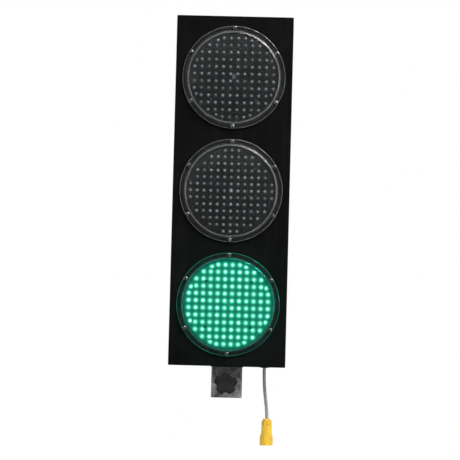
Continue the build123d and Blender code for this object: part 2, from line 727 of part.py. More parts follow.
def core_wires():
    """Single cores from the end of each sheath into the barrels."""
    wires = []
    for name, ways in PIGTAIL_WAYS.items():
        for side, way in zip((-CORE_GAP, CORE_GAP), ways):
            start = (PIGTAIL_X + side, PIGTAIL_Y[name], PIGTAIL_END_Z[name])
            mouth = (BARREL_X, STRIP_Y0 - 1, way_z(way))
            wires.append(core_wire(start, mouth, -1, 1))
    for index, way in enumerate(SUPPLY_WAYS):
        side = CORE_GAP if index % 2 else -CORE_GAP
        rear = CORE_GAP if index > 1 else -CORE_GAP
        start = (FEED_X + side, FEED_Y + rear, CABLE_END_Z)
        shared = CORE_PAIR_DZ if way in LINKED_WAYS else 0.0
        mouth = (BARREL_X, STRIP_Y1 + 1, way_z(way) - shared)
        wires.append(core_wire(start, mouth, 1, -1))
    return wires


def core_wire(start, mouth, up, inward):
    """A bend from the sheath to the strip, then a straight end in the barrel."""
    x, y, z = mouth
    bend = Spline(start, mouth, tangents=((0, 0, up), (0, inward, 0)))
    straight = Line(mouth, (x, y + CORE_IN * inward, z))
    return tube_along(Wire([*bend.edges(), *straight.edges()]), CORE_R)


def common_links():
    """Short loops that join the lamps' common ways to the supply's, two cores to a barrel."""
    mouth_y = STRIP_Y1 + 1
    links = []
    for upper, lower in zip(LINKED_WAYS, LINKED_WAYS[1:]):
        top, low = way_z(upper) - CORE_PAIR_DZ, way_z(lower) + CORE_PAIR_DZ
        crown = (BARREL_X - LINK_BULGE, mouth_y + LINK_BULGE, (top + low) / 2)
        loop = Spline((BARREL_X, mouth_y, top), crown, (BARREL_X, mouth_y, low),
                      tangents=((0, 1, 0), (0, -1, 0)))
        ends = [Line((BARREL_X, mouth_y - CORE_IN, z), (BARREL_X, mouth_y, z)) for z in (top, low)]
        path = Wire([*ends[0].edges(), *loop.edges(), *ends[1].edges()])
        links.append(tube_along(path, CORE_R))
    return links


def supply_cable():
    """Round cable from the strip, down through the floor, to the plug on its tail."""
    start = (CABLE_X, CABLE_Y, TAIL_START_Z)
    end = (TAIL_X, CABLE_Y, PLUG_TOP)
    inside = FilletPolyline((FEED_X, FEED_Y, CABLE_END_Z), (FEED_X, FEED_Y, FEED_BEND_Z),
                            (CABLE_X, CABLE_Y, CABLE_BEND_Z), start, radius=BEND_R)
    tail = Spline(start, (CABLE_X + TAIL_MID[0], CABLE_Y, TAIL_MID[1]), end,
                  tangents=((0, 0, -1), (0, 0, -1)))
    stub = Line(end, (TAIL_X, CABLE_Y, PLUG_TOP - CABLE_IN_PLUG))
    return tube_along(Wire([*inside.edges(), *tail.edges(), *stub.edges()]), CABLE_R)


def cable_grommet():
    """Grooved rubber ring that grips the floor's edge between its two lips."""
    bore, groove, lip = CABLE_R + 0.05, GROMMET_R - 0.05, GROMMET_R + GROMMET_LIP
    foot = BOTTOM - GROMMET_FOOT
    ring = turned(outline([
        (bore, foot), (lip - 1.0, foot), (lip, foot + 0.6), (lip, BOTTOM), (groove, BOTTOM),
        (groove, 0), (lip, 0), (lip, 1.8), (bore, 1.8),
    ]))
    return Pos(CABLE_X, CABLE_Y, 0) * Rot(90, 0, 0) * ring


# ---- Cord clamp ----
def cord_bracket():
    face = CORD_LEG_X + CORD_SHEET
    near, far = CABLE_Y - CORD_HALF, CABLE_Y + CORD_HALF + 4
    foot = block(CORD_FOOT_X, face, near, far, PLATE_T, PLATE_T + CORD_SHEET)
    leg = block(CORD_LEG_X, face, near, far, PLATE_T, CORD_LEG_TOP)
    bracket = foot + leg - along_z(M6_CLEAR_R, 0, 10, BOLT_X, BOLT_Y)
    for dy in (-CORD_SCREW_DY, CORD_SCREW_DY):
        bracket -= along_x(M4_CLEAR_R, CORD_LEG_X - 1, face + 1, CABLE_Y + dy, CORD_Z)
    return bracket


def cord_clamp():
    face = CORD_LEG_X + CORD_SHEET
    low, high = CORD_Z - SADDLE_HALF, CORD_Z + SADDLE_HALF
    saddle = block(face, CORD_EAR_X, CABLE_Y - CORD_HALF, CABLE_Y + CORD_HALF, low, high)
    saddle += along_z(CABLE_R + SADDLE_WALL, low, high, CABLE_X, CABLE_Y)
    saddle -= along_z(CABLE_R + 0.05, low - 1, high + 1, CABLE_X, CABLE_Y)
    saddle -= block(face - 20, face, CABLE_Y - 20, CABLE_Y + 20, low - 1, high + 1)
    for dy in (-CORD_SCREW_DY, CORD_SCREW_DY):
        saddle -= along_x(M4_CLEAR_R, face - 1, CORD_EAR_X + 1, CABLE_Y + dy, CORD_Z)
    return saddle


# ---- Plug ----
def at_plug(shape):
    return Pos(TAIL_X, CABLE_Y, 0) * shape


def plug_gland():
    """Hexagonal clamping nut with a domed top."""
    gland = Pos(0, 0, PLUG_BODY_TOP) * hexagon(PLUG_GLAND_AF, PLUG_GLAND_H - PLUG_GLAND_DOME)
    dome = along_z(PLUG_GLAND_DOME_R, PLUG_BODY_TOP, PLUG_TOP)
    dome = fillet(dome.edges().sort_by(Axis.Z)[-1], 3.5)
    return at_plug(gland + dome - along_z(CABLE_R + 0.1, PLUG_BODY_TOP - 1, PLUG_TOP + 1))


def plug_body():
    body = along_z(PLUG_BODY_R, PLUG_BODY_END, PLUG_BODY_TOP)
    body = fillet(body.edges().sort_by(Axis.Z)[-1], 1.5)
    shoulder = PLUG_RING_END + PLUG_RING_H
    body += along_z(PLUG_BODY_R + 1.5, shoulder + 0.3, shoulder + 4.3)
    body -= along_z(CABLE_R + 0.1, PLUG_BODY_TOP - 8, PLUG_BODY_TOP + 1)
    body -= along_z(PLUG_BODY_R - PLUG_WALL, PLUG_BODY_END - 1, PLUG_BODY_TOP - 12)
    return at_plug(body)


def plug_insert():
    """Insulator with four contact pins."""
    puck = along_z(PLUG_BODY_R - PLUG_WALL - 0.05, PLUG_BODY_END + 5, PLUG_BODY_END + 20)
    pins = []
    for i in range(PLUG_PINS):
        turn = radians(45 + 360 / PLUG_PINS * i)
        x, y = PLUG_PIN_CIRCLE_R * cos(turn), PLUG_PIN_CIRCLE_R * sin(turn)
        puck -= along_z(PLUG_PIN_R + 0.05, PLUG_BODY_END, PLUG_BODY_END + 30, x, y)
        pins.append(at_plug(along_z(PLUG_PIN_R, PLUG_BODY_END - 1, PLUG_BODY_END + 18, x, y)))
    return [at_plug(puck), *pins]


def plug_ring():
    """Coupling ring that spins on the plug's body, with grip flutes."""
    ring = along_z(PLUG_RING_R, PLUG_RING_END, PLUG_RING_END + PLUG_RING_H)
    ring = chamfer(ring.edges(), 0.8)
    ring -= along_z(PLUG_BODY_R + 0.05, PLUG_RING_END - 1, PLUG_RING_END + PLUG_RING_H + 1)
    flute_at = PLUG_RING_R + 0.3
    for i in range(PLUG_FLUTES):
        turn = radians(360 / PLUG_FLUTES * i)
        ring -= along_z(PLUG_FLUTE_R, PLUG_RING_END - 1, PLUG_RING_END + PLUG_RING_H + 1,
                        flute_at * cos(turn), flute_at * sin(turn))
    return at_plug(ring)


# ---- Rear door ----
def rear_door():
    pan = block(-DOOR_X, DOOR_X, REAR + DOOR_GAP, DOOR_FACE, DOOR_Z0, DOOR_Z1)
    pan = fillet(pan.faces().sort_by(Axis.Y)[-1].edges(), 1.2)
    lip = DOOR_SHEET
    pan -= block(-DOOR_X + lip, DOOR_X - lip, REAR, DOOR_IN, DOOR_Z0 + lip, DOOR_Z1 - lip)
    for z in LATCH_Z.values():
        pan -= along_y(LATCH_SLEEVE_R + 0.1, REAR, DOOR_FACE + 1, LATCH_X, z)
    for z in rivet_places():
        pan -= along_y(RIVET_R + 0.05, REAR, DOOR_FACE + 1, RIVET_X, z)
    return pan


def rivet_places():
    return [z + dz for z in HINGE_Z for dz in (-RIVET_DZ, RIVET_DZ)]


def door_seal():
    edge = DOOR_X - DOOR_SHEET - 0.2
    low, high = DOOR_Z0 + DOOR_SHEET + 0.2, DOOR_Z1 - DOOR_SHEET - 0.2
    seal = block(-edge, edge, REAR, DOOR_IN, low, high)
    inner = edge - SEAL_W
    return seal - block(-inner, inner, REAR - 1, DOOR_IN + 1, low + SEAL_W, high - SEAL_W)


def hinge_knuckles():
    """Fixed barrels, two to a hinge, each on a foot welded to the return flange."""
    knuckles = []
    for z in HINGE_Z:
        for low in (z - KNUCKLE_END, z + KNUCKLE_HALF + KNUCKLE_PLAY):
            high = low + KNUCKLE_END - KNUCKLE_HALF - KNUCKLE_PLAY
            foot = block(HINGE_X - HINGE_R, HINGE_X + HINGE_R - 0.1, REAR, HINGE_Y, low, high)
            barrel = along_z(HINGE_R, low, high, HINGE_X, HINGE_Y)
            bore = along_z(HINGE_PIN_R + FIT_PLAY, low - 1, high + 1, HINGE_X, HINGE_Y)
            knuckles.append(foot + barrel - bore)
    return knuckles


def hinge_leaves():
    leaves = []
    for z in HINGE_Z:
        start = -DOOR_X + 0.2
        leaf = block(start, start + LEAF_W, DOOR_FACE, DOOR_FACE + LEAF_T, z - LEAF_HALF,
                     z + LEAF_HALF)
        leaf += block(HINGE_X, start, DOOR_FACE, DOOR_FACE + LEAF_T, z - KNUCKLE_HALF,
                      z + KNUCKLE_HALF)
        leaf += along_z(HINGE_R, z - KNUCKLE_HALF, z + KNUCKLE_HALF, HINGE_X, HINGE_Y)
        leaf -= along_z(HINGE_PIN_R + 0.06, z - 20, z + 20, HINGE_X, HINGE_Y)
        for dz in (-RIVET_DZ, RIVET_DZ):
            leaf -= along_y(RIVET_R + 0.05, DOOR_FACE - 1, DOOR_FACE + 3, RIVET_X, z + dz)
        leaves.append(leaf)
    return leaves


def hinge_pins():
    pins = []
    for z in HINGE_Z:
        pin = along_z(HINGE_PIN_R, z - KNUCKLE_END - 1, z + KNUCKLE_END + 1, HINGE_X, HINGE_Y)
        for end in (z - KNUCKLE_END - 0.1 - PIN_HEAD_H, z + KNUCKLE_END + 0.1):
            head = along_z(PIN_HEAD_R, end, end + PIN_HEAD_H, HINGE_X, HINGE_Y)
            pin += chamfer(head.edges(), 0.4)
        pins.append(pin)
    return pins


def hinge_rivets():
    """Rivets through leaf and door, formed on both sides."""
    face = DOOR_FACE + LEAF_T
    rivets = []
    for z in rivet_places():
        head = along_y(RIVET_HEAD_R, face, face + RIVET_HEAD_H)
        head = fillet(head.edges().sort_by(Axis.Y)[-1], 1.2)
        tail = along_y(RIVET_TAIL_R, DOOR_IN - RIVET_TAIL_H, DOOR_IN)
        tail = chamfer(tail.edges().sort_by(Axis.Y)[0], 0.5)
        rivets.append(Pos(RIVET_X, 0, z) * (head + tail + along_y(RIVET_R, DOOR_IN, face)))
    return rivets


def at_latch(shape, name):
    return Pos(LATCH_X, 0, LATCH_Z[name]) * shape


def latch_body():
    flange = along_y(LATCH_FLANGE_R, DOOR_FACE, DOOR_FACE + 2)
    flange = fillet(flange.edges().sort_by(Axis.Y)[-1], 1.0)
    body = flange + along_y(LATCH_SLEEVE_R, LATCH_END, DOOR_FACE)
    body -= along_y(SPINDLE_HEAD_R + 0.05, SPINDLE_SEAT, DOOR_FACE + 3)
    return body - along_y(SPINDLE_R + 0.05, LATCH_END - 1, DOOR_FACE)


def latch_nut():
    nut = hex_nut(24.0, 4.2, LATCH_SLEEVE_R + 0.05)
    return Pos(0, DOOR_IN, 0) * Rot(90, 0, 0) * nut


def latch_spindle():
    """Turning core: slotted head outside, square end inside for the cam."""
    top = DOOR_FACE + SPINDLE_HEAD_H
    head = along_y(SPINDLE_HEAD_R, SPINDLE_SEAT + 0.1, top)
    head -= block(-SLOT_L / 2, SLOT_L / 2, top - SLOT_DEPTH, top + 1, -SLOT_W / 2, SLOT_W / 2)
    shaft = along_y(SPINDLE_R, SPINDLE_END, SPINDLE_SEAT + 0.1)
    half = SPINDLE_SQUARE / 2
    square = block(-half, half, CAM_FRONT, SPINDLE_END, -half, half)
    return head + shaft + square - along_y(2.5, CAM_FRONT - 1, CAM_FRONT + 7)


def latch_cam():
    """Flat arm pointing up when the latch is open; it turns to lie behind the flange."""
    arm = block(-CAM_W / 2, CAM_W / 2, CAM_FRONT, CAM_BACK, -CAM_W / 2, CAM_L)
    arm = fillet(arm.edges().filter_by(Axis.Y), CAM_W / 2 - 0.5)
    half = SPINDLE_SQUARE / 2 + 0.1
    return arm - block(-half, half, CAM_FRONT - 1, CAM_BACK + 1, -half, half)


def latch_screw():
    washer = along_y(6.0, CAM_FRONT - 1, CAM_FRONT)
    head = Pos(0, CAM_FRONT - 1, 0) * Rot(90, 0, 0) * hexagon(8.0, 3.5)
    return washer + head + along_y(2.45, CAM_FRONT, CAM_FRONT + 6.5)


# ---- Write every piece ----
os.makedirs("parts", exist_ok=True)
save("housing_shell", housing_shell())
save("mast_socket", mast_socket())
save("socket_plate", socket_plate())
save("socket_bolts", *socket_bolts())
save("socket_nuts", *socket_nuts())
save("clamp_nut", clamp_nut())
save("clamp_tip", clamp_tip())
save("clamp_stud", clamp_stud())
save("star_knob", star_knob())

for lamp, height in LAMP_Z.items():
    save(f"lens_{lamp}", lens(height))
    save(f"lamp_cup_{lamp}", lamp_cup(height))
    save(f"led_board_{lamp}", led_board(height))
    save(f"leds_{lamp}", *leds(lamp))
    save(f"driver_{lamp}", *driver(height))
    save(f"pigtail_{lamp}", pigtail(lamp))
save("lens_seals", *[lens_seal(z) for z in LAMP_Z.values()])
save("module_gaskets", *[module_gasket(z) for z in LAMP_Z.values()])
save("cup_grommets", *[cup_grommet(z) for z in LAMP_Z.values()])
save("board_screws", *board_screws())
save("m4_screws", *m4_screws())
save("m4_nuts", *m4_nuts())

save("terminal_strip", terminal_strip())
save("terminal_clamps", *terminal_clamps())
save("core_wires", *core_wires())
save("common_links", *common_links())
save("supply_cable", supply_cable())
save("cable_grommet", cable_grommet())
save("cord_bracket", cord_bracket())
save("cord_clamp", cord_clamp())
save("plug_gland", plug_gland())
save("plug_body", plug_body())
save("plug_insert", *plug_insert())
save("plug_ring", plug_ring())

save("rear_door", rear_door())
save("door_seal", door_seal())
save("hinge_knuckles", *hinge_knuckles())
save("hinge_leaves", *hinge_leaves())
save("hinge_pins", *hinge_pins())
save("hinge_rivets", *hinge_rivets())
save("latch_bodies", *[at_latch(latch_body(), name) for name in LATCH_Z])
save("latch_nuts", *[at_latch(latch_nut(), name) for name in LATCH_Z])
for latch in LATCH_Z:
    save(f"latch_spindle_{latch}", at_latch(latch_spindle(), latch))
    save(f"latch_cam_{latch}", at_latch(latch_cam(), latch))
    save(f"latch_screw_{latch}", at_latch(latch_screw(), latch))
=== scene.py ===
"""Looks of the traffic signal head: materials, fine shapes, studio and camera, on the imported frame."""

import math

import bmesh
import bpy
from mathutils import Matrix, Vector


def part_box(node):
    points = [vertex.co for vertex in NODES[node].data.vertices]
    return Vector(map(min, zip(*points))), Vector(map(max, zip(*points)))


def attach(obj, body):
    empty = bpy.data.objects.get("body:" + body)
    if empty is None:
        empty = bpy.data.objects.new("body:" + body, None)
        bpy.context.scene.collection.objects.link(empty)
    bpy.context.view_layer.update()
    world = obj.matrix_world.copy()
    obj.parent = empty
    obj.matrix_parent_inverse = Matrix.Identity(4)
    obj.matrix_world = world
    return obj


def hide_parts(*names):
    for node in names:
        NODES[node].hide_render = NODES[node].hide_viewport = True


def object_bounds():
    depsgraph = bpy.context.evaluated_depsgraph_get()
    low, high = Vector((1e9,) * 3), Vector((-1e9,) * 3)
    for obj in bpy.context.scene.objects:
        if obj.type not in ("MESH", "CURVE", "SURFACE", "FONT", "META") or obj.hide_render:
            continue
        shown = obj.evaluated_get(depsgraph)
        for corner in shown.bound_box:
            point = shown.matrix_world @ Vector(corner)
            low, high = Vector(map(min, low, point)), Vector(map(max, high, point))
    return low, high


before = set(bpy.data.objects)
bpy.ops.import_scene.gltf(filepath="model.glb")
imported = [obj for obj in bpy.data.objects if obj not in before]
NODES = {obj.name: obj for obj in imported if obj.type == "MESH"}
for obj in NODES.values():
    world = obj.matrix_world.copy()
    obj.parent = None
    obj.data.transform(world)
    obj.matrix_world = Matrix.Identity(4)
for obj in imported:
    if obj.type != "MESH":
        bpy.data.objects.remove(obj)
CAD_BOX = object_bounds()
LAMPS = ("red", "amber", "green")
LATCHES = ("upper", "lower")
LIT = "green"

# LEDs, as the design places them: a grid is its pitch in metres, and its shift from the lamp's
# axis in pitches. LED_REACH is in pitches, and LED_RING is the outermost LEDs' radius in metres
EVEN_GRID = (0.0154, 0.5)
ODD_GRID = (0.0145, 0.0)
LED_GRIDS = {"red": EVEN_GRID, "amber": ODD_GRID, "green": EVEN_GRID}
LED_REACH = 6.2
LED_RING = 0.088

# Lens, as the design has it, in metres; the gate is the small moulding mark at its centre
LENS_R = 0.0995
LENS_WALL = 0.0025
LENS_RIM_H = 0.005
LENS_FLANGE_T = 0.003
LENS_EDGE_R = 0.004
LENS_BEVEL = 0.0012
GATE_R = 0.003
GATE_H = 0.0004
GATE_TIP_R = GATE_R * 0.8
SCREW_CIRCLE_R = 0.1055
SCREW_HOLE_R = 0.00225
SCREWS_PER_LAMP = 6

# Fineness of the visible lens, and the angle in degrees where its dome meets the rounded rim
LENS_AROUND = 240
LENS_STEPS = 28
RIM_START = -84
OUTER_RIM_STEPS = 8
INNER_RIM_STEPS = 6
BEVEL_STEPS = 5
SCREW_HOLE_POINTS = 24

# Lens looks: refraction, then haze amounts and the distances from the axis where they lie
CLEAR_INDEX = 1.50
RIM_HAZE_R = 0.0980
RIM_HAZE = 0.07
EDGE_HAZE_R = 0.1094
EDGE_HAZE = 0.09
GATE_HAZE_R = 0.006
GATE_HAZE = 0.05

# Light of the lit lamp on the front panel: it fades between these distances from the axis
SPILL_REACH = 0.175
SPILL_FROM = 0.110
PANEL_Y = -0.060

# Clamp stud's thread and the pin at its end, in metres, and its fineness around and per turn
STUD_PITCH = 0.0015
STUD_AROUND = 48
STUD_STEPS = 10
THREAD_DEPTH = 0.0006
THREAD_END_FADE = 0.0012
THREAD_START_FADE = 0.0004
NECK_DEPTH = 0.0003
PIN_LENGTH = 0.002
PIN_R = 0.0019

# Beads of weld and sealant, in metres
BEAD_POINTS = 10
WELD_R = 0.0015
WELD_OUTSET = 0.0003
SEALANT_R = 0.0016

# Terminal strip: its ways, the ear at each end in metres, and the core colours, as numbers in
# CORES, of the ways that feed a lamp; the common ways are blue
STRIP_WAYS = 8
STRIP_EAR = 0.010
LAMP_WAYS = {7: 0, 5: 1, 3: 2}
COMMON_CORE = 3

# Studio: strengths of the surroundings as the object feels them, the floor's half width and its
# drop below the object in metres, and where the lights point and their colours
LOW_LIGHT = 0.12
HIGH_LIGHT = 0.75
LEVEL_DIM = 0.10
FLOOR_HALF = 30.0
FLOOR_DROP = 0.30
LIGHT_TARGET = (0, 0, 0.35)
WHITE = (1, 1, 1)
WARM = (1.0, 0.985, 0.96)
COOL = (0.93, 0.97, 1.0)

# Camera: degrees, metres, the picture's height as a share of the head's, and the sensor in mm
VIEW_AZIMUTH = 1.3
VIEW_ELEVATION = -2.7
VIEW_ROLL = 1.5
VIEW_DISTANCE = 6.0
VIEW_MARGIN = 1.07
SENSOR_MM = 36.0


# ---- Node materials ----
class Shader:
    """A material or world under construction. Textures use the row frame, in metres."""

    def __init__(self, owner, coordinates="Object"):
        self.owner = owner
        owner.use_nodes = True
        self.nodes = owner.node_tree.nodes
        self.links = owner.node_tree.links
        self.nodes.clear()
        self.place = self.add("ShaderNodeTexCoord").outputs[coordinates]

    def add(self, kind, inputs=None, **settings):
        """A new node, with each input set to a value or linked to a socket."""
        node = self.nodes.new(kind)
        for key, value in settings.items():
            setattr(node, key, value)
        for key, value in (inputs or {}).items():
            if is_socket(value):
                self.links.new(value, node.inputs[key])
            else:
                node.inputs[key].default_value = value
        return node

    def math(self, operation, a, b=0.0, clamp=False):
        node = self.add("ShaderNodeMath", {0: a, 1: b}, operation=operation, use_clamp=clamp)
        return node.outputs[0]

    def length(self, a, b):
        """The length of a flat vector with the parts a and b."""
        squares = self.math("ADD", self.math("MULTIPLY", a, a), self.math("MULTIPLY", b, b))
        return self.math("SQRT", squares)

    def stretched(self, scale):
        """Texture coordinates scaled apart along X, Y and Z."""
        return self.add("ShaderNodeMapping", {"Vector": self.place, "Scale": scale}).outputs[0]

    def noise(self, scale, detail=3.0, rough=0.55, stretch=None):
        place = self.stretched(stretch) if stretch else self.place
        inputs = {"Vector": place, "Scale": scale, "Detail": detail, "Roughness": rough}
        return self.add("ShaderNodeTexNoise", inputs).outputs[0]

    def cells(self, scale, output="Distance", feature="F1"):
        inputs = {"Vector": self.place, "Scale": scale}
        return self.add("ShaderNodeTexVoronoi", inputs, feature=feature).outputs[output]

    def span(self, value, low, high, to_low=0.0, to_high=1.0):
        """value mapped from low..high to to_low..to_high, and clamped."""
        inputs = {0: value, 1: low, 2: high, 3: to_low, 4: to_high}
        return self.add("ShaderNodeMapRange", inputs).outputs[0]

    def mix(self, factor, first, second, blend="MIX"):
        inputs = {0: factor, 1: rgba(first), 2: rgba(second)}
        return self.add("ShaderNodeMixRGB", inputs, blend_type=blend).outputs[0]

    def soft_normal(self, radius):
        """The normal with corners rounded over radius."""
        return self.add("ShaderNodeBevel", {"Radius": radius}, samples=4).outputs[0]

    def edges(self, radius):
        """Near 1 on outer and inner corners, 0 on open surface."""
        rounded = self.soft_normal(radius)
        flat = self.add("ShaderNodeNewGeometry").outputs["Normal"]
        dot = self.add("ShaderNodeVectorMath", {0: rounded, 1: flat}, operation="DOT_PRODUCT")
        return self.span(dot.outputs["Value"], 0.985, 0.85)

    def upward(self):
        """1 on a surface that faces up, -1 on one that faces down."""
        normal = self.add("ShaderNodeNewGeometry").outputs["Normal"]
        return self.add("ShaderNodeSeparateXYZ", {0: normal}).outputs["Z"]

    def bump(self, height, strength, distance, normal=None):
        inputs = {"Height": height, "Strength": strength, "Distance": distance}
        if normal is not None:
            inputs["Normal"] = normal
        return self.add("ShaderNodeBump", inputs).outputs[0]

    def principled(self, **inputs):
        named = {key.replace("_", " "): value for key, value in inputs.items()}
        return self.add("ShaderNodeBsdfPrincipled", named).outputs[0]

    def finish(self, surface, kind="Material"):
        self.add(f"ShaderNodeOutput{kind}", {"Surface": surface})
        return self.owner


def new_shader(name):
    return Shader(bpy.data.materials.new(name))


def is_socket(value):
    return hasattr(value, "is_output")


def rgba(value):
    """A colour triple with alpha, or an output socket as it is."""
    return value if is_socket(value) else (*value[:3], 1.0)


def worn(name, dark, light, rough=(0.35, 0.55), metallic=0.0, specular=0.4, blotch=14.0,
         grain=700.0, grain_bump=0.12, soft=0.0004, edge=None, edge_amount=0.6,
         dust=0.0, streaks=0.0, scratch=0.0, spill=None):
    """A solid finish with blotches, grain, rubbed edges, settled dust, streaks and scratches."""
    s = new_shader(name)
    large = s.span(s.noise(blotch, 4.0), 0.35, 0.68)
    fine = s.span(s.noise(grain * 0.35, 2.0), 0.3, 0.7)
    colour = s.mix(s.math("ADD", s.math("MULTIPLY", large, 0.7), s.math("MULTIPLY", fine, 0.3)),
                   dark, light)
    roughness = s.span(s.noise(blotch * 3.1, 5.0), 0.3, 0.7, *rough)
    if streaks:
        runs = s.span(s.noise(1.0, 4.0, stretch=(90.0, 90.0, 5.0)), 0.48, 0.75)
        grime = tuple(0.5 * c + 0.03 for c in light)
        colour = s.mix(s.math("MULTIPLY", runs, streaks), colour, grime)
    if scratch:
        lines = s.noise(1.0, 2.0, stretch=(400.0, 60.0, 14.0))
        marks = s.math("MULTIPLY", s.span(lines, 0.68, 0.74), scratch)
        colour = s.mix(marks, colour, tuple(min(1.0, 1.8 * c + 0.05) for c in light))
    if edge:
        rubbed = s.math("MULTIPLY", s.edges(0.0011), s.span(s.noise(70.0, 5.0), 0.44, 0.62))
        colour = s.mix(s.math("MULTIPLY", rubbed, edge_amount), colour, edge)
    if dust:
        on_top = s.span(s.upward(), 0.2, 0.95)
        settled = s.math("MULTIPLY", on_top, s.span(s.noise(38.0, 6.0), 0.3, 0.7))
        film = s.math("MULTIPLY", s.span(s.noise(5.0, 5.0), 0.45, 0.8), 0.25)
        amount = s.math("MULTIPLY", s.math("ADD", settled, film), dust)
        colour = s.mix(amount, colour, (0.20, 0.185, 0.16))
        roughness = s.math("ADD", roughness, s.math("MULTIPLY", amount, 0.5), clamp=True)
    normal = s.bump(s.noise(grain, 2.0), grain_bump, 0.0004, s.soft_normal(soft))
    inputs = {"Base_Color": colour, "Metallic": metallic, "Roughness": roughness,
              "Specular_IOR_Level": specular, "Normal": normal}
    if spill:
        inputs["Emission_Color"] = s.mix(lamp_spill(s), (0, 0, 0), spill)
        inputs["Emission_Strength"] = 1.0
    return s.finish(s.principled(**inputs))


def lamp_spill(s):
    """The lit lamp's light on the front panel round it: 1 at the lens, and 0 far from it."""
    depth = s.add("ShaderNodeSeparateXYZ", {0: s.place}).outputs["Y"]
    on_front = s.span(depth, PANEL_Y + 0.001, PANEL_Y + 0.0002)
    near = s.span(axis_distance(s, lamp_height(LIT)), SPILL_REACH, SPILL_FROM)
    return s.math("MULTIPLY", near, on_front)


def galvanised():
    """Hot-dip zinc: dull crystals of differing grey, with pale bloom in patches."""
    s = new_shader("galvanised_steel")
    crystal = s.add("ShaderNodeSeparateColor", {0: s.cells(150.0, "Color")}).outputs[0]
    colour = s.mix(crystal, (0.16, 0.165, 0.165), (0.34, 0.35, 0.35))
    bloom = s.span(s.noise(26.0, 6.0), 0.52, 0.72)
    colour = s.mix(s.math("MULTIPLY", bloom, 0.4), colour, (0.42, 0.43, 0.42))
    grime = s.span(s.noise(1.0, 4.0, stretch=(70.0, 70.0, 9.0)), 0.5, 0.7)
    colour = s.mix(s.math("MULTIPLY", grime, 0.55), colour, (0.07, 0.068, 0.062))
    roughness = s.span(crystal, 0.0, 1.0, 0.38, 0.62)
    ridge = s.cells(150.0, "Distance", "DISTANCE_TO_EDGE")
    normal = s.bump(s.noise(420.0, 3.0), 0.15, 0.0004, s.soft_normal(0.0005))
    normal = s.bump(s.span(ridge, 0.0, 0.08), 0.12, 0.0002, normal)
    return s.finish(s.principled(Base_Color=colour, Metallic=0.75, Roughness=roughness,
                                 Normal=normal))


def lamp_height(lamp):
    """Height of a lamp's axis."""
    low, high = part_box(f"led_board_{lamp}")
    return (low.z + high.z) / 2


def axis_distance(s, centre_z):
    """Distance of a point from the lamp's axis, in metres."""
    split = s.add("ShaderNodeSeparateXYZ", {0: s.place})
    return s.length(split.outputs["X"], s.math("SUBTRACT", split.outputs["Z"], centre_z))


def clear_cover(name, centre_z, lit):
    """Clear polycarbonate with a faint haze that thickens at its rim and edge, and light in it if lit.

    Rays pass straight through it, so both of its sides mirror as the outside does.
    """
    s = new_shader(name)
    out = axis_distance(s, centre_z)
    within_rim = s.span(out, RIM_HAZE_R - 0.003, RIM_HAZE_R)
    rim = s.math("MULTIPLY", within_rim, s.span(out, LENS_R + 0.0006, LENS_R + 0.0002))
    edge = s.span(out, EDGE_HAZE_R - 0.0008, EDGE_HAZE_R)
    hairlines = s.span(s.noise(1.0, 2.0, stretch=(500.0, 30.0, 60.0)), 0.62, 0.75)
    normal = s.bump(s.noise(18.0, 2.0), 0.02, 0.002)
    haze = s.span(s.noise(45.0, 6.0), 0.35, 0.75, 0.001, 0.008)
    haze = s.math("ADD", haze, s.math("MULTIPLY", hairlines, 0.008))
    facing = s.add("ShaderNodeLayerWeight", {"Blend": 0.35}).outputs["Facing"]
    haze = s.math("ADD", haze, s.math("MULTIPLY", s.span(facing, 0.3, 1.0), 0.22))
    haze = s.math("ADD", haze, s.math("MULTIPLY", rim, RIM_HAZE))
    haze = s.math("ADD", haze, s.math("MULTIPLY", edge, EDGE_HAZE), clamp=True)
    gate = s.span(out, GATE_HAZE_R, 0.5 * GATE_HAZE_R, 0.0, GATE_HAZE)
    haze = s.math("ADD", haze, gate)
    # On the lit lens the gloss and the haze are tinted green as painted lamp light; unlit, they are
    # white and pale grey
    sheen = (0.05, 0.8, 0.62, 1) if lit else (1, 1, 1, 1)
    gloss = s.add("ShaderNodeBsdfGlossy", {"Color": sheen, "Normal": normal,
                                           "Roughness": s.span(s.noise(60.0), 0.3, 0.7, 0.05, 0.13)})
    clear = s.add("ShaderNodeBsdfTransparent", {"Color": (0.96, 0.97, 0.975, 1)})
    haze_colour_and_lamp_tint = (0.04, 0.45, 0.34, 1) if lit else (0.62, 0.64, 0.64, 1)
    veil = s.add("ShaderNodeBsdfDiffuse", {"Color": haze_colour_and_lamp_tint}).outputs[0]
    if lit:
        glow = s.add("ShaderNodeEmission", {"Color": (0.0, 0.62, 0.34, 1), "Strength": 0.7})
        veil = s.add("ShaderNodeAddShader", {0: veil, 1: glow.outputs[0]}).outputs[0]
    back_face = s.add("ShaderNodeNewGeometry").outputs["Backfacing"]
    index = s.span(back_face, 0.0, 1.0, CLEAR_INDEX, 1.0 / CLEAR_INDEX)
    fresnel = s.add("ShaderNodeFresnel", {"IOR": index, "Normal": normal}).outputs[0]
    body = s.add("ShaderNodeMixShader", {0: haze, 1: clear.outputs[0], 2: veil}).outputs[0]
    surface = s.add("ShaderNodeMixShader", {0: fresnel, 1: body, 2: gloss.outputs[0]}).outputs[0]
    return s.finish(surface)


def led_cell(s, lamp):
    """A point's place from the lamp's centre and its LED's grid cell, all in pitches."""
    pitch, shift = LED_GRIDS[lamp]
    split = s.add("ShaderNodeSeparateXYZ", {0: s.place})
    across = s.math("DIVIDE", split.outputs["X"], pitch)
    rise = s.math("DIVIDE", s.math("SUBTRACT", split.outputs["Z"], lamp_height(lamp)), pitch)
    cells = []
    for value in (across, rise):
        whole = s.math("FLOOR", s.math("ADD", value, 0.5 - shift))
        cells.append(s.math("ADD", whole, shift))
    return across, rise, *cells


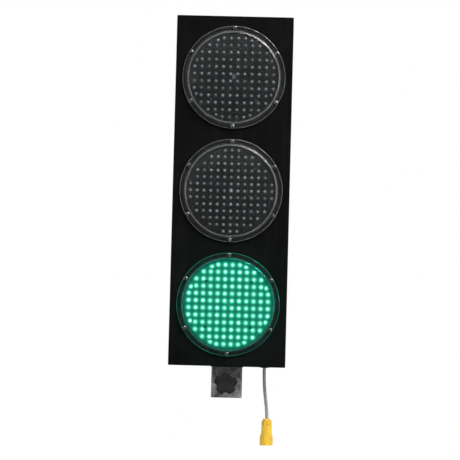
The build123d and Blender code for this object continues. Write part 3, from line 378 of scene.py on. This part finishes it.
def led_distance(s, lamp):
    """Distances of a point on the board from its LED and from the lamp's centre, in pitches."""
    across, rise, cell_x, cell_z = led_cell(s, lamp)
    reach = s.length(cell_x, cell_z)
    pull = s.math("MINIMUM", s.math("DIVIDE", LED_RING / LED_GRIDS[lamp][0], reach), 1.0)
    dx = s.math("SUBTRACT", across, s.math("MULTIPLY", cell_x, pull))
    dz = s.math("SUBTRACT", rise, s.math("MULTIPLY", cell_z, pull))
    outside = s.math("GREATER_THAN", reach, LED_REACH)
    return s.math("ADD", s.length(dx, dz), outside), s.length(across, rise)


def led_board(lamp):
    """Dark solder mask with a pale ring round each LED, and LED light on it when lit."""
    s = new_shader(f"led_board_{lamp}")
    away, out = led_distance(s, lamp)
    mask = s.mix(s.span(s.noise(60.0, 4.0), 0.3, 0.7), (0.003, 0.0032, 0.0034), (0.007, 0.0074, 0.0078))
    ring = s.math("MULTIPLY", s.span(away, 0.20, 0.22), s.span(away, 0.30, 0.27))
    colour = s.mix(s.math("MULTIPLY", ring, 0.5), mask, (0.045, 0.046, 0.047))
    normal = s.bump(s.noise(500.0, 2.0), 0.1, 0.0003)
    inputs = {"Base_Color": colour, "Roughness": s.span(s.noise(90.0), 0.3, 0.7, 0.4, 0.6),
              "Specular_IOR_Level": 0.25, "Normal": normal}
    if lamp == LIT:
        halo = s.math("POWER", s.span(away, 0.50, 0.20), 1.25)
        inputs["Emission_Color"] = s.mix(halo, (0.0, 0.20, 0.115), (0.06, 0.98, 0.60))
        inputs["Emission_Strength"] = s.span(out, 5.9, 6.3, 1.0, 0.25)
    return s.finish(s.principled(**inputs))


def led_epoxy(lamp):
    """Diffused clear epoxy; every LED differs a little in brightness."""
    s = new_shader(f"led_epoxy_{lamp}")
    cell_x, cell_z = led_cell(s, lamp)[2:]
    seed = s.add("ShaderNodeCombineXYZ", {0: cell_x, 1: lamp_height(lamp), 2: cell_z}).outputs[0]
    odd = s.add("ShaderNodeTexWhiteNoise", {0: seed}).outputs["Value"]
    facing = s.add("ShaderNodeLayerWeight", {"Blend": 0.5}).outputs["Facing"]
    body = s.mix(odd, (0.10, 0.102, 0.102), (0.24, 0.245, 0.245))
    # Painted shade: the epoxy's colour is darker where its dome is seen edge-on
    colour = s.mix(s.span(facing, 0.4, 1.0), body, (0.06, 0.061, 0.061))
    inputs = {"Base_Color": colour, "Roughness": s.span(s.noise(300.0), 0.3, 0.7, 0.12, 0.22),
              "Specular_IOR_Level": 0.6, "Normal": s.bump(s.noise(400.0), 0.05, 0.0003)}
    if lamp == LIT:
        core = s.mix(s.span(facing, 0.0, 0.75), (0.50, 1.0, 0.80), (0.12, 0.9, 0.5))
        inputs["Emission_Color"] = core
        inputs["Emission_Strength"] = s.span(odd, 0.0, 1.0, 1.0, 1.6)
    return s.finish(s.principled(**inputs))


BLACK_COAT = worn("housing_black", (0.0014, 0.0015, 0.0015), (0.0030, 0.0030, 0.0031),
                  rough=(0.42, 0.58), specular=0.04, grain=800.0, grain_bump=0.22, soft=0.0006,
                  edge=(0.030, 0.030, 0.029), edge_amount=0.35, dust=0.02, streaks=0.04,
                  scratch=0.03, spill=(0.0, 0.0024, 0.0014))
HINGE_COAT = worn("hinge_black", (0.006, 0.006, 0.006), (0.012, 0.012, 0.012), rough=(0.35, 0.5),
                  specular=0.3, edge=(0.18, 0.17, 0.16), edge_amount=0.8, dust=0.12)
GALVANISED = galvanised()
ZINC = worn("zinc_steel", (0.36, 0.37, 0.38), (0.56, 0.57, 0.57), rough=(0.24, 0.42), metallic=1.0,
            blotch=60.0, grain=1500.0, grain_bump=0.1, soft=0.0002, edge=(0.7, 0.7, 0.69), dust=0.3)
BLACK_SCREW = worn("screw_black", (0.012, 0.012, 0.012), (0.028, 0.028, 0.028), rough=(0.3, 0.45),
                   metallic=0.6, blotch=90.0, grain=1500.0, grain_bump=0.08, soft=0.0002)
# Painted lamp light: board screws inside the lit lamp are coloured green, standing for the LEDs' light
# on them
SCREW_PAINTED_LAMP_LIGHT = worn("screw_painted_lamp_light", (0.0, 0.05, 0.03), (0.0, 0.09, 0.05), rough=(0.3, 0.45),
                 specular=0.2, blotch=90.0, grain=1500.0, grain_bump=0.08, soft=0.0002)
STAINLESS = worn("stainless", (0.36, 0.36, 0.355), (0.50, 0.50, 0.49), rough=(0.16, 0.3),
                 metallic=1.0, blotch=90.0, grain=1600.0, grain_bump=0.06, soft=0.0002)
BRASS = worn("brass", (0.42, 0.27, 0.08), (0.68, 0.46, 0.16), rough=(0.22, 0.38), metallic=1.0,
             blotch=120.0, grain=1500.0, grain_bump=0.08, soft=0.0002)
KNOB = worn("knob_black", (0.006, 0.006, 0.0064), (0.013, 0.013, 0.0135), rough=(0.34, 0.52),
            specular=0.2, blotch=40.0, grain=1800.0, grain_bump=0.18, soft=0.0004,
            edge=(0.04, 0.04, 0.04), dust=0.08)
RUBBER = worn("seal_rubber", (0.008, 0.008, 0.008), (0.02, 0.02, 0.02), rough=(0.65, 0.85),
              specular=0.3, blotch=50.0, grain=1200.0, grain_bump=0.15, dust=0.3)
CUP = worn("cup_plastic", (0.005, 0.0053, 0.0056), (0.010, 0.0104, 0.011), rough=(0.45, 0.62),
           specular=0.25, blotch=24.0, grain=900.0, grain_bump=0.1, soft=0.0005)
SHEATH = worn("cable_sheath", (0.19, 0.193, 0.195), (0.27, 0.273, 0.275), rough=(0.4, 0.6),
              specular=0.4, blotch=45.0, grain=900.0, grain_bump=0.1, streaks=0.3)
STRIP = worn("strip_plastic", (0.52, 0.50, 0.45), (0.66, 0.64, 0.58), rough=(0.35, 0.5),
             blotch=40.0, grain=900.0, grain_bump=0.08, soft=0.0004)
YELLOW = worn("plug_yellow", (0.50, 0.30, 0.012), (0.66, 0.42, 0.025), rough=(0.28, 0.45),
              specular=0.5, blotch=60.0, grain=1200.0, grain_bump=0.1, soft=0.0004,
              edge=(0.75, 0.55, 0.12), dust=0.2, streaks=0.35)
BOARD_GREEN = worn("driver_board", (0.008, 0.055, 0.025), (0.016, 0.09, 0.04), rough=(0.3, 0.45),
                   blotch=70.0, grain=700.0, grain_bump=0.1)
CORE_PAINTS = {
    "core_red": ((0.30, 0.012, 0.010), (0.42, 0.022, 0.016)),
    "core_yellow": ((0.52, 0.34, 0.015), (0.66, 0.45, 0.03)),
    "core_green": ((0.010, 0.16, 0.035), (0.018, 0.24, 0.06)),
    "core_blue": ((0.012, 0.05, 0.20), (0.02, 0.08, 0.30)),
}
CORES = [worn(name, *tones, rough=(0.3, 0.42), specular=0.5, blotch=90.0, grain=1500.0,
              grain_bump=0.06) for name, tones in CORE_PAINTS.items()]

BY_NODE = {
    "housing_shell": BLACK_COAT, "rear_door": BLACK_COAT,
    "hinge_knuckles": HINGE_COAT, "hinge_leaves": HINGE_COAT,
    "mast_socket": GALVANISED, "socket_plate": GALVANISED,
    "socket_bolts": ZINC, "socket_nuts": ZINC, "clamp_nut": ZINC, "clamp_stud": ZINC,
    "board_screws": BLACK_SCREW, "cord_bracket": ZINC, "latch_bodies": ZINC, "latch_nuts": ZINC,
    "m4_screws": STAINLESS, "m4_nuts": STAINLESS, "hinge_pins": STAINLESS,
    "hinge_rivets": STAINLESS, "clamp_tip": BRASS, "terminal_clamps": BRASS,
    "star_knob": KNOB, "cord_clamp": KNOB, "plug_insert": KNOB,
    "lens_seals": RUBBER, "module_gaskets": RUBBER, "cup_grommets": RUBBER,
    "cable_grommet": RUBBER, "door_seal": RUBBER,
    "terminal_strip": STRIP, "supply_cable": SHEATH, "common_links": CORES[COMMON_CORE],
    "plug_gland": YELLOW, "plug_body": YELLOW, "plug_ring": YELLOW,
}
for latch in LATCHES:
    for part in ("spindle", "cam", "screw"):
        BY_NODE[f"latch_{part}_{latch}"] = ZINC
for lamp in LAMPS:
    BY_NODE[f"lamp_cup_{lamp}"] = CUP
    BY_NODE[f"driver_{lamp}"] = BOARD_GREEN
    BY_NODE[f"pigtail_{lamp}"] = SHEATH
    BY_NODE[f"lens_{lamp}"] = clear_cover(f"clear_lens_{lamp}", lamp_height(lamp), lamp == LIT)
    BY_NODE[f"leds_{lamp}"] = led_epoxy(lamp)
    BY_NODE[f"led_board_{lamp}"] = led_board(lamp)


def smooth(mesh, angle=32.0):
    """Smooth shading that keeps corners sharper than angle."""
    mesh.polygons.foreach_set("use_smooth", [True] * len(mesh.polygons))
    mesh.set_sharp_from_angle(angle=math.radians(angle))


def islands(mesh):
    """The separate solids of a mesh, each as (face indices, lowest corner, highest corner)."""
    parent = list(range(len(mesh.vertices)))

    def root(i):
        while parent[i] != i:
            parent[i] = parent[parent[i]]
            i = parent[i]
        return i

    keys = {}
    for v in mesh.vertices:
        key = tuple(round(c * 1e6) for c in v.co)
        if key in keys:
            parent[root(v.index)] = root(keys[key])
        keys.setdefault(key, v.index)
    for face in mesh.polygons:
        first = root(face.vertices[0])
        for i in face.vertices[1:]:
            parent[root(i)] = first
    groups = {}
    for face in mesh.polygons:
        groups.setdefault(root(face.vertices[0]), []).append(face.index)
    found = []
    for faces in groups.values():
        points = [mesh.vertices[i].co for f in faces for i in mesh.polygons[f].vertices]
        low = Vector([min(p[k] for p in points) for k in range(3)])
        high = Vector([max(p[k] for p in points) for k in range(3)])
        found.append((faces, low, high))
    return found


def paint_islands(node, materials, pick):
    """Gives each solid of a node the material whose number pick(low, high) returns."""
    mesh = NODES[node].data
    mesh.materials.clear()
    for material in materials:
        mesh.materials.append(material)
    for faces, low, high in islands(mesh):
        number = pick(low, high)
        for index in faces:
            mesh.polygons[index].material_index = number
    smooth(mesh)


for name, material in BY_NODE.items():
    mesh = NODES[name].data
    mesh.materials.clear()
    mesh.materials.append(material)
    smooth(mesh)

STRIP_LOW, STRIP_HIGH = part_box("terminal_strip")
STRIP_MID_Y = (STRIP_LOW.y + STRIP_HIGH.y) / 2
WAY_PITCH = (STRIP_HIGH.z - STRIP_LOW.z - 2 * STRIP_EAR) / STRIP_WAYS


def core_paint(low, high):
    """The colour of the lamp that a core's way feeds, or blue on the common ways."""
    lamp_side = (low.y + high.y) / 2 < STRIP_MID_Y
    mouth = low.z if lamp_side else high.z
    way = math.floor((mouth - STRIP_LOW.z - STRIP_EAR) / WAY_PITCH)
    return LAMP_WAYS.get(way, COMMON_CORE)


paint_islands("core_wires", CORES, core_paint)
paint_islands("terminal_clamps", [BRASS, ZINC],
              lambda low, high: 0 if high.y - low.y > 0.01 else 1)
lit_low, lit_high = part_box(f"lens_{LIT}")
# Screws within the lit lens get the green painted lamp light, the others their black finish
paint_islands("board_screws", [BLACK_SCREW, SCREW_PAINTED_LAMP_LIGHT],
              lambda low, high: 1 if lit_low.z < low.z < lit_high.z else 0)
paint_islands("plug_insert", [KNOB, BRASS], lambda low, high: 0 if high.x - low.x > 0.01 else 1)


def driver_paint(low, high):
    """Board, wound choke, capacitors, bridge and header, told apart by their sizes."""
    size = high - low
    if size.x > 0.05:
        return 0
    if size.x > 0.0225:
        return 3
    if size.x > 0.018:
        return 1
    return 2 if size.y > 0.012 else 4


for lamp in LAMPS:
    paint_islands(f"driver_{lamp}", [BOARD_GREEN, BRASS, ZINC, KNOB, STRIP], driver_paint)


# ---- Fine shapes that stand for or join the CAD solids ----
def new_piece(name, vertices, faces, material, body, slot, sharp=32.0):
    """A smooth piece with outward normals that rides a body, shaded sharp past an angle."""
    mesh = bpy.data.meshes.new(name)
    mesh.from_pydata(vertices, [], faces)
    mesh.validate()
    mesh.materials.append(material)
    bm = bmesh.new()
    bm.from_mesh(mesh)
    bmesh.ops.recalc_face_normals(bm, faces=bm.faces)
    bm.to_mesh(mesh)
    bm.free()
    smooth(mesh, sharp)
    piece = bpy.data.objects.new(name, mesh)
    bpy.context.scene.collection.objects.link(piece)
    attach(piece, body)
    return piece


def skin(rings, close_ends=True, closed_path=False):
    """Quads between successive rings of equal length, as (vertices, faces)."""
    count = len(rings[0])
    vertices = [p for ring in rings for p in ring]
    faces = []
    last = len(rings) if closed_path else len(rings) - 1
    for i in range(last):
        a, b = i * count, (i + 1) % len(rings) * count
        for k in range(count):
            n = (k + 1) % count
            faces.append((a + k, a + n, b + n, b + k))
    if close_ends and not closed_path:
        faces.append(tuple(reversed(range(count))))
        faces.append(tuple(range((len(rings) - 1) * count, len(rings) * count)))
    return vertices, faces


def arc(centre, radius, start, end, steps):
    """Points of an arc as (radius, y), with angles in degrees from the +radius direction."""
    turns = [math.radians(start + (end - start) * k / steps) for k in range(steps + 1)]
    return [(centre[0] + radius * math.cos(t), centre[1] + radius * math.sin(t)) for t in turns]


def dome(reach, apex, rise, steps):
    """Points of a shallow dome from the axis out to reach, as (radius, y)."""
    ball_r = (reach ** 2 + rise ** 2) / (2 * rise)
    radii = [reach * k / steps for k in range(steps + 1)]
    return [(r, apex + ball_r - math.sqrt(ball_r ** 2 - r ** 2)) for r in radii]


def circle_points(bm, radius, y, centre, count):
    """A closed loop of new vertices about an axis along Y through centre (x, z)."""
    loop = []
    for k in range(count):
        turn = 2 * math.pi * k / count
        loop.append(bm.verts.new((centre[0] + radius * math.cos(turn), y,
                                  centre[1] + radius * math.sin(turn))))
    return loop


def loop_edges(bm, loop):
    """The edges round a loop, made where there are none yet."""
    edges = []
    for a, b in zip(loop, loop[1:] + loop[:1]):
        edges.append(bm.edges.get((a, b)) or bm.edges.new((a, b)))
    return edges


def bridge(bm, first, second):
    """Quads between two loops of equal count."""
    for k in range(len(first)):
        n = (k + 1) % len(first)
        bm.faces.new((first[k], first[n], second[n], second[k]))


def lens_cover(lamp):
    """A finely turned lens: domed cover, rounded rim, and a flange with its six screw holes."""
    low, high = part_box(f"lens_{lamp}")
    centre = ((low.x + high.x) / 2, (low.z + high.z) / 2)
    flange_r = (high.x - low.x) / 2
    seat, face = high.y, high.y - LENS_FLANGE_T
    rim, apex = face - LENS_RIM_H, low.y + GATE_H
    inner_r, inner_edge_r = LENS_R - LENS_WALL, LENS_EDGE_R - 0.001
    inner_rim = rim + LENS_WALL
    whole_dome = dome(LENS_R - LENS_EDGE_R, apex, rim - apex, LENS_STEPS)
    outer_dome = [point for point in whole_dome if point[0] > GATE_R]
    outer = [(GATE_TIP_R, low.y), (GATE_R, low.y + GATE_H * 0.5), (GATE_R, apex), *outer_dome]
    outer += arc((LENS_R - LENS_EDGE_R, rim + LENS_EDGE_R), LENS_EDGE_R, RIM_START, 0,
                 OUTER_RIM_STEPS)
    outer.append((LENS_R, face))
    edge = arc((flange_r - LENS_BEVEL, face + LENS_BEVEL), LENS_BEVEL, -90, 0, BEVEL_STEPS)
    edge.append((flange_r, seat))
    inner_arc = arc((inner_r - inner_edge_r, inner_rim + inner_edge_r), inner_edge_r, RIM_START, 0,
                    INNER_RIM_STEPS)
    inner = [(inner_r, seat), *reversed(inner_arc)]
    inner += reversed(dome(inner_r - inner_edge_r, apex + LENS_WALL, rim - apex, LENS_STEPS)[1:])
    bm = bmesh.new()
    spun = []
    for profile in (outer, edge, inner):
        loops = [circle_points(bm, r, y, centre, LENS_AROUND) for r, y in profile]
        for first, second in zip(loops, loops[1:]):
            bridge(bm, first, second)
        spun.append(loops)
    for tip, loop in ((low.y, spun[0][0]), (apex + LENS_WALL, spun[2][-1])):
        middle = bm.verts.new((centre[0], tip, centre[1]))
        for a, b in zip(loop, loop[1:] + loop[:1]):
            bm.faces.new((middle, a, b))
    walls = []
    for i in range(SCREWS_PER_LAMP):
        turn = 2 * math.pi * i / SCREWS_PER_LAMP + math.pi / 2
        at = (centre[0] + SCREW_CIRCLE_R * math.cos(turn),
              centre[1] + SCREW_CIRCLE_R * math.sin(turn))
        walls.append([circle_points(bm, SCREW_HOLE_R, y, at, SCREW_HOLE_POINTS)
                      for y in (face, seat)])
        bridge(bm, *walls[-1])
    for side, rings in ((0, (spun[0][-1], spun[1][0])), (1, (spun[1][-1], spun[2][0]))):
        loops = [*rings, *[wall[side] for wall in walls]]
        edges = [e for loop in loops for e in loop_edges(bm, loop)]
        bmesh.ops.triangle_fill(bm, use_beauty=True, edges=edges)
    bmesh.ops.recalc_face_normals(bm, faces=bm.faces)
    mesh = bpy.data.meshes.new(f"lens_cover_{lamp}")
    bm.to_mesh(mesh)
    bm.free()
    mesh.materials.append(BY_NODE[f"lens_{lamp}"])
    smooth(mesh)
    cover = bpy.data.objects.new(f"lens_cover_{lamp}", mesh)
    bpy.context.scene.collection.objects.link(cover)
    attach(cover, "head")
    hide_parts(f"lens_{lamp}")


def threaded_stud():
    """The clamp stud with a true helical thread, and the pin that holds the loose tip."""
    low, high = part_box("clamp_stud")
    centre_x, centre_z = (low.x + high.x) / 2, (low.z + high.z) / 2
    crest = (high.x - low.x) / 2
    root = crest - THREAD_DEPTH
    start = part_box("star_knob")[1].y
    pin_start = high.y - PIN_LENGTH
    step = STUD_PITCH / STUD_STEPS
    rings = []

    def ring(y, radius_at):
        points = []
        for k in range(STUD_AROUND):
            turn = 2 * math.pi * k / STUD_AROUND
            r = radius_at(turn)
            points.append((centre_x + r * math.cos(turn), y, centre_z + r * math.sin(turn)))
        return points

    def thread_radius(y, turn):
        phase = ((y - start) / STUD_PITCH + turn / (2 * math.pi)) % 1.0
        wave = min(1.0, max(0.0, 3.2 * abs(phase - 0.5) - 0.3))
        lead = min(1.0, (pin_start - y) / THREAD_END_FADE, (y - start) / THREAD_START_FADE + 0.2)
        return root + (crest - root) * wave * max(0.0, lead)

    rings.append(ring(low.y, lambda turn: crest))
    rings.append(ring(start, lambda turn: crest))
    y = start + step
    while y < pin_start - 1e-6:
        rings.append(ring(y, lambda turn, y=y: thread_radius(y, turn)))
        y += step
    rings.append(ring(pin_start, lambda turn: root - NECK_DEPTH))
    rings.append(ring(pin_start, lambda turn: PIN_R))
    rings.append(ring(high.y, lambda turn: PIN_R))
    stud = new_piece("stud_thread", *skin(rings), ZINC, "clamp_screw", "zinc_steel", 50.0)
    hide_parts("clamp_stud")


def bead(name, corners, radius, material, slot, ripple, spacing, normal):
    """A rippled bead along a closed path of corners, lying in the plane across normal."""
    path = []
    for i, start in enumerate(corners):
        end = corners[(i + 1) % len(corners)]
        steps = max(2, round((end - start).length / spacing))
        path += [start.lerp(end, k / steps) for k in range(steps)]
    rings = []
    for i, point in enumerate(path):
        along = (path[(i + 1) % len(path)] - path[i - 1]).normalized()
        side = along.cross(normal).normalized()
        swell = radius * (1.0 + ripple * math.sin(1.9 * i) + 0.5 * ripple * math.sin(0.73 * i))
        ring = []
        for k in range(BEAD_POINTS):
            turn = 2 * math.pi * k / BEAD_POINTS
            ring.append(point + swell * (math.cos(turn) * side + math.sin(turn) * normal))
        rings.append(ring)
    new_piece(name, *skin(rings, closed_path=True), material, "head", slot, 60.0)


def hexagon_corners(centre, across_corners, outset):
    """Corners of a hexagon across Y, with outset added to its radius."""
    corners = []
    for k in range(6):
        turn = math.pi / 3 * k
        r = across_corners / 2 + outset
        corners.append(centre + Vector((r * math.cos(turn), 0, r * math.sin(turn))))
    return corners


for lamp in LAMPS:
    lens_cover(lamp)
threaded_stud()
nut_low, nut_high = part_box("clamp_nut")
nut_centre = Vector(((nut_low.x + nut_high.x) / 2, nut_high.y, (nut_low.z + nut_high.z) / 2))
bead("nut_weld", hexagon_corners(nut_centre, nut_high.x - nut_low.x, WELD_OUTSET), WELD_R, ZINC,
     "zinc_steel", ripple=0.16, spacing=0.0009, normal=Vector((0, 1, 0)))
floor_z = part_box("housing_shell")[0].z
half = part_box("mast_socket")[1].x
sleeve_corners = [Vector((x * half, y * half, floor_z))
                  for x, y in ((-1, -1), (1, -1), (1, 1), (-1, 1))]
bead("socket_sealant", sleeve_corners, SEALANT_R, RUBBER, "seal_rubber",
     ripple=0.10, spacing=0.0015, normal=Vector((0, 0, 1)))


# ---- Studio ----
def area_light(name, place, size, energy, colour=WHITE):
    """A rectangular light aimed at the head, with its sizes in metres and its energy in watts."""
    light = bpy.data.lights.new(name, "AREA")
    light.shape = "RECTANGLE"
    light.size, light.size_y = size
    light.energy = energy
    light.color = colour
    light_object = bpy.data.objects.new(name, light)
    light_object.location = place
    aim = Vector(LIGHT_TARGET) - Vector(place)
    light_object.rotation_euler = aim.to_track_quat("-Z", "Y").to_euler()
    bpy.context.scene.collection.objects.link(light_object)


def studio_world():
    """White to the camera; the object feels it bright overhead, dim before and behind and below."""
    s = Shader(bpy.data.worlds.new("studio"), "Generated")
    split = s.add("ShaderNodeSeparateXYZ", {0: s.place})
    rise = s.span(split.outputs["Z"], -0.3, 0.9, LOW_LIGHT, HIGH_LIGHT)
    facing = s.math("ABSOLUTE", split.outputs["Y"])
    strength = s.math("MULTIPLY", rise, s.span(facing, 0.70, 0.97, 1.0, LEVEL_DIM))
    felt = s.add("ShaderNodeBackground", {"Color": (0.94, 0.97, 1.0, 1), "Strength": strength})
    seen = s.add("ShaderNodeBackground", {"Color": (1, 1, 1, 1)})
    camera_ray = s.add("ShaderNodeLightPath").outputs["Is Camera Ray"]
    both = s.add("ShaderNodeMixShader", {0: camera_ray, 1: felt.outputs[0], 2: seen.outputs[0]})
    bpy.context.scene.world = s.finish(both.outputs[0], "World")


def pale_floor():
    """A broad pale sheet below the head: it fades to white far off, and isn't seen from below."""
    mesh = bpy.data.meshes.new("floor")
    z = CAD_BOX[0].z - FLOOR_DROP
    corners = [(x * FLOOR_HALF, y * FLOOR_HALF, z) for x, y in ((-1, -1), (1, -1), (1, 1), (-1, 1))]
    mesh.from_pydata(corners, [], [(0, 1, 2, 3)])
    s = new_shader("pale_floor")
    tone = s.mix(s.span(s.noise(3.0, 5.0), 0.3, 0.7), (0.84, 0.84, 0.84), (0.88, 0.88, 0.875))
    sheet = s.principled(Base_Color=tone, Roughness=0.8, Specular_IOR_Level=0.2)
    white = s.add("ShaderNodeEmission", {"Color": (1, 1, 1, 1), "Strength": 1.0}).outputs[0]
    flat = s.add("ShaderNodeVectorMath", {0: s.place, 1: (1, 1, 0)}, operation="MULTIPLY").outputs[0]
    reach = s.add("ShaderNodeVectorMath", {0: flat}, operation="LENGTH").outputs["Value"]
    camera_ray = s.add("ShaderNodeLightPath").outputs["Is Camera Ray"]
    fade = s.math("MULTIPLY", s.span(reach, 0.8, 4.5), camera_ray)
    top = s.add("ShaderNodeMixShader", {0: fade, 1: sheet, 2: white}).outputs[0]
    clear = s.add("ShaderNodeBsdfTransparent").outputs[0]
    from_below = s.math("MULTIPLY", s.add("ShaderNodeNewGeometry").outputs["Backfacing"], camera_ray)
    both = s.add("ShaderNodeMixShader", {0: from_below, 1: top, 2: clear}).outputs[0]
    mesh.materials.append(s.finish(both))
    floor = bpy.data.objects.new("floor", mesh)
    floor.visible_glossy = False
    bpy.context.scene.collection.objects.link(floor)


studio_world()
pale_floor()
area_light("key", place=(1.0, -2.7, 3.1), size=(2.0, 0.9), energy=40.0, colour=WARM)
area_light("arc", place=(1.9, -2.4, 3.3), size=(2.8, 1.9), energy=230.0)
area_light("left", place=(-2.7, -1.3, 0.7), size=(0.4, 1.8), energy=16.0, colour=COOL)
area_light("right", place=(2.8, -1.1, 0.6), size=(0.4, 1.5), energy=12.0)
area_light("back", place=(-0.9, 2.7, 2.4), size=(1.8, 1.4), energy=70.0)


def head_camera():
    """Looks up at the head from a little to its right, rolled so that the head leans right."""
    low, high = CAD_BOX
    azimuth, elevation = math.radians(VIEW_AZIMUTH), math.radians(VIEW_ELEVATION)
    back = Vector((math.sin(azimuth) * math.cos(elevation),
                   -math.cos(azimuth) * math.cos(elevation), math.sin(elevation)))
    middle = Vector((0.0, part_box("housing_shell")[0].y, (low.z + high.z) / 2))
    turn = (-back).to_track_quat("-Z", "Y").to_matrix().to_4x4()
    turn = turn @ Matrix.Rotation(math.radians(VIEW_ROLL), 4, "Z")
    camera_data = bpy.data.cameras.new("camera")
    camera_data.sensor_width = SENSOR_MM
    camera_data.lens = SENSOR_MM * VIEW_DISTANCE / (VIEW_MARGIN * (high.z - low.z))
    camera = bpy.data.objects.new("camera", camera_data)
    camera.matrix_world = Matrix.Translation(middle + VIEW_DISTANCE * back) @ turn
    bpy.context.scene.collection.objects.link(camera)
    bpy.context.scene.camera = camera


head_camera()
bpy.context.scene.view_settings.view_transform = "Standard"
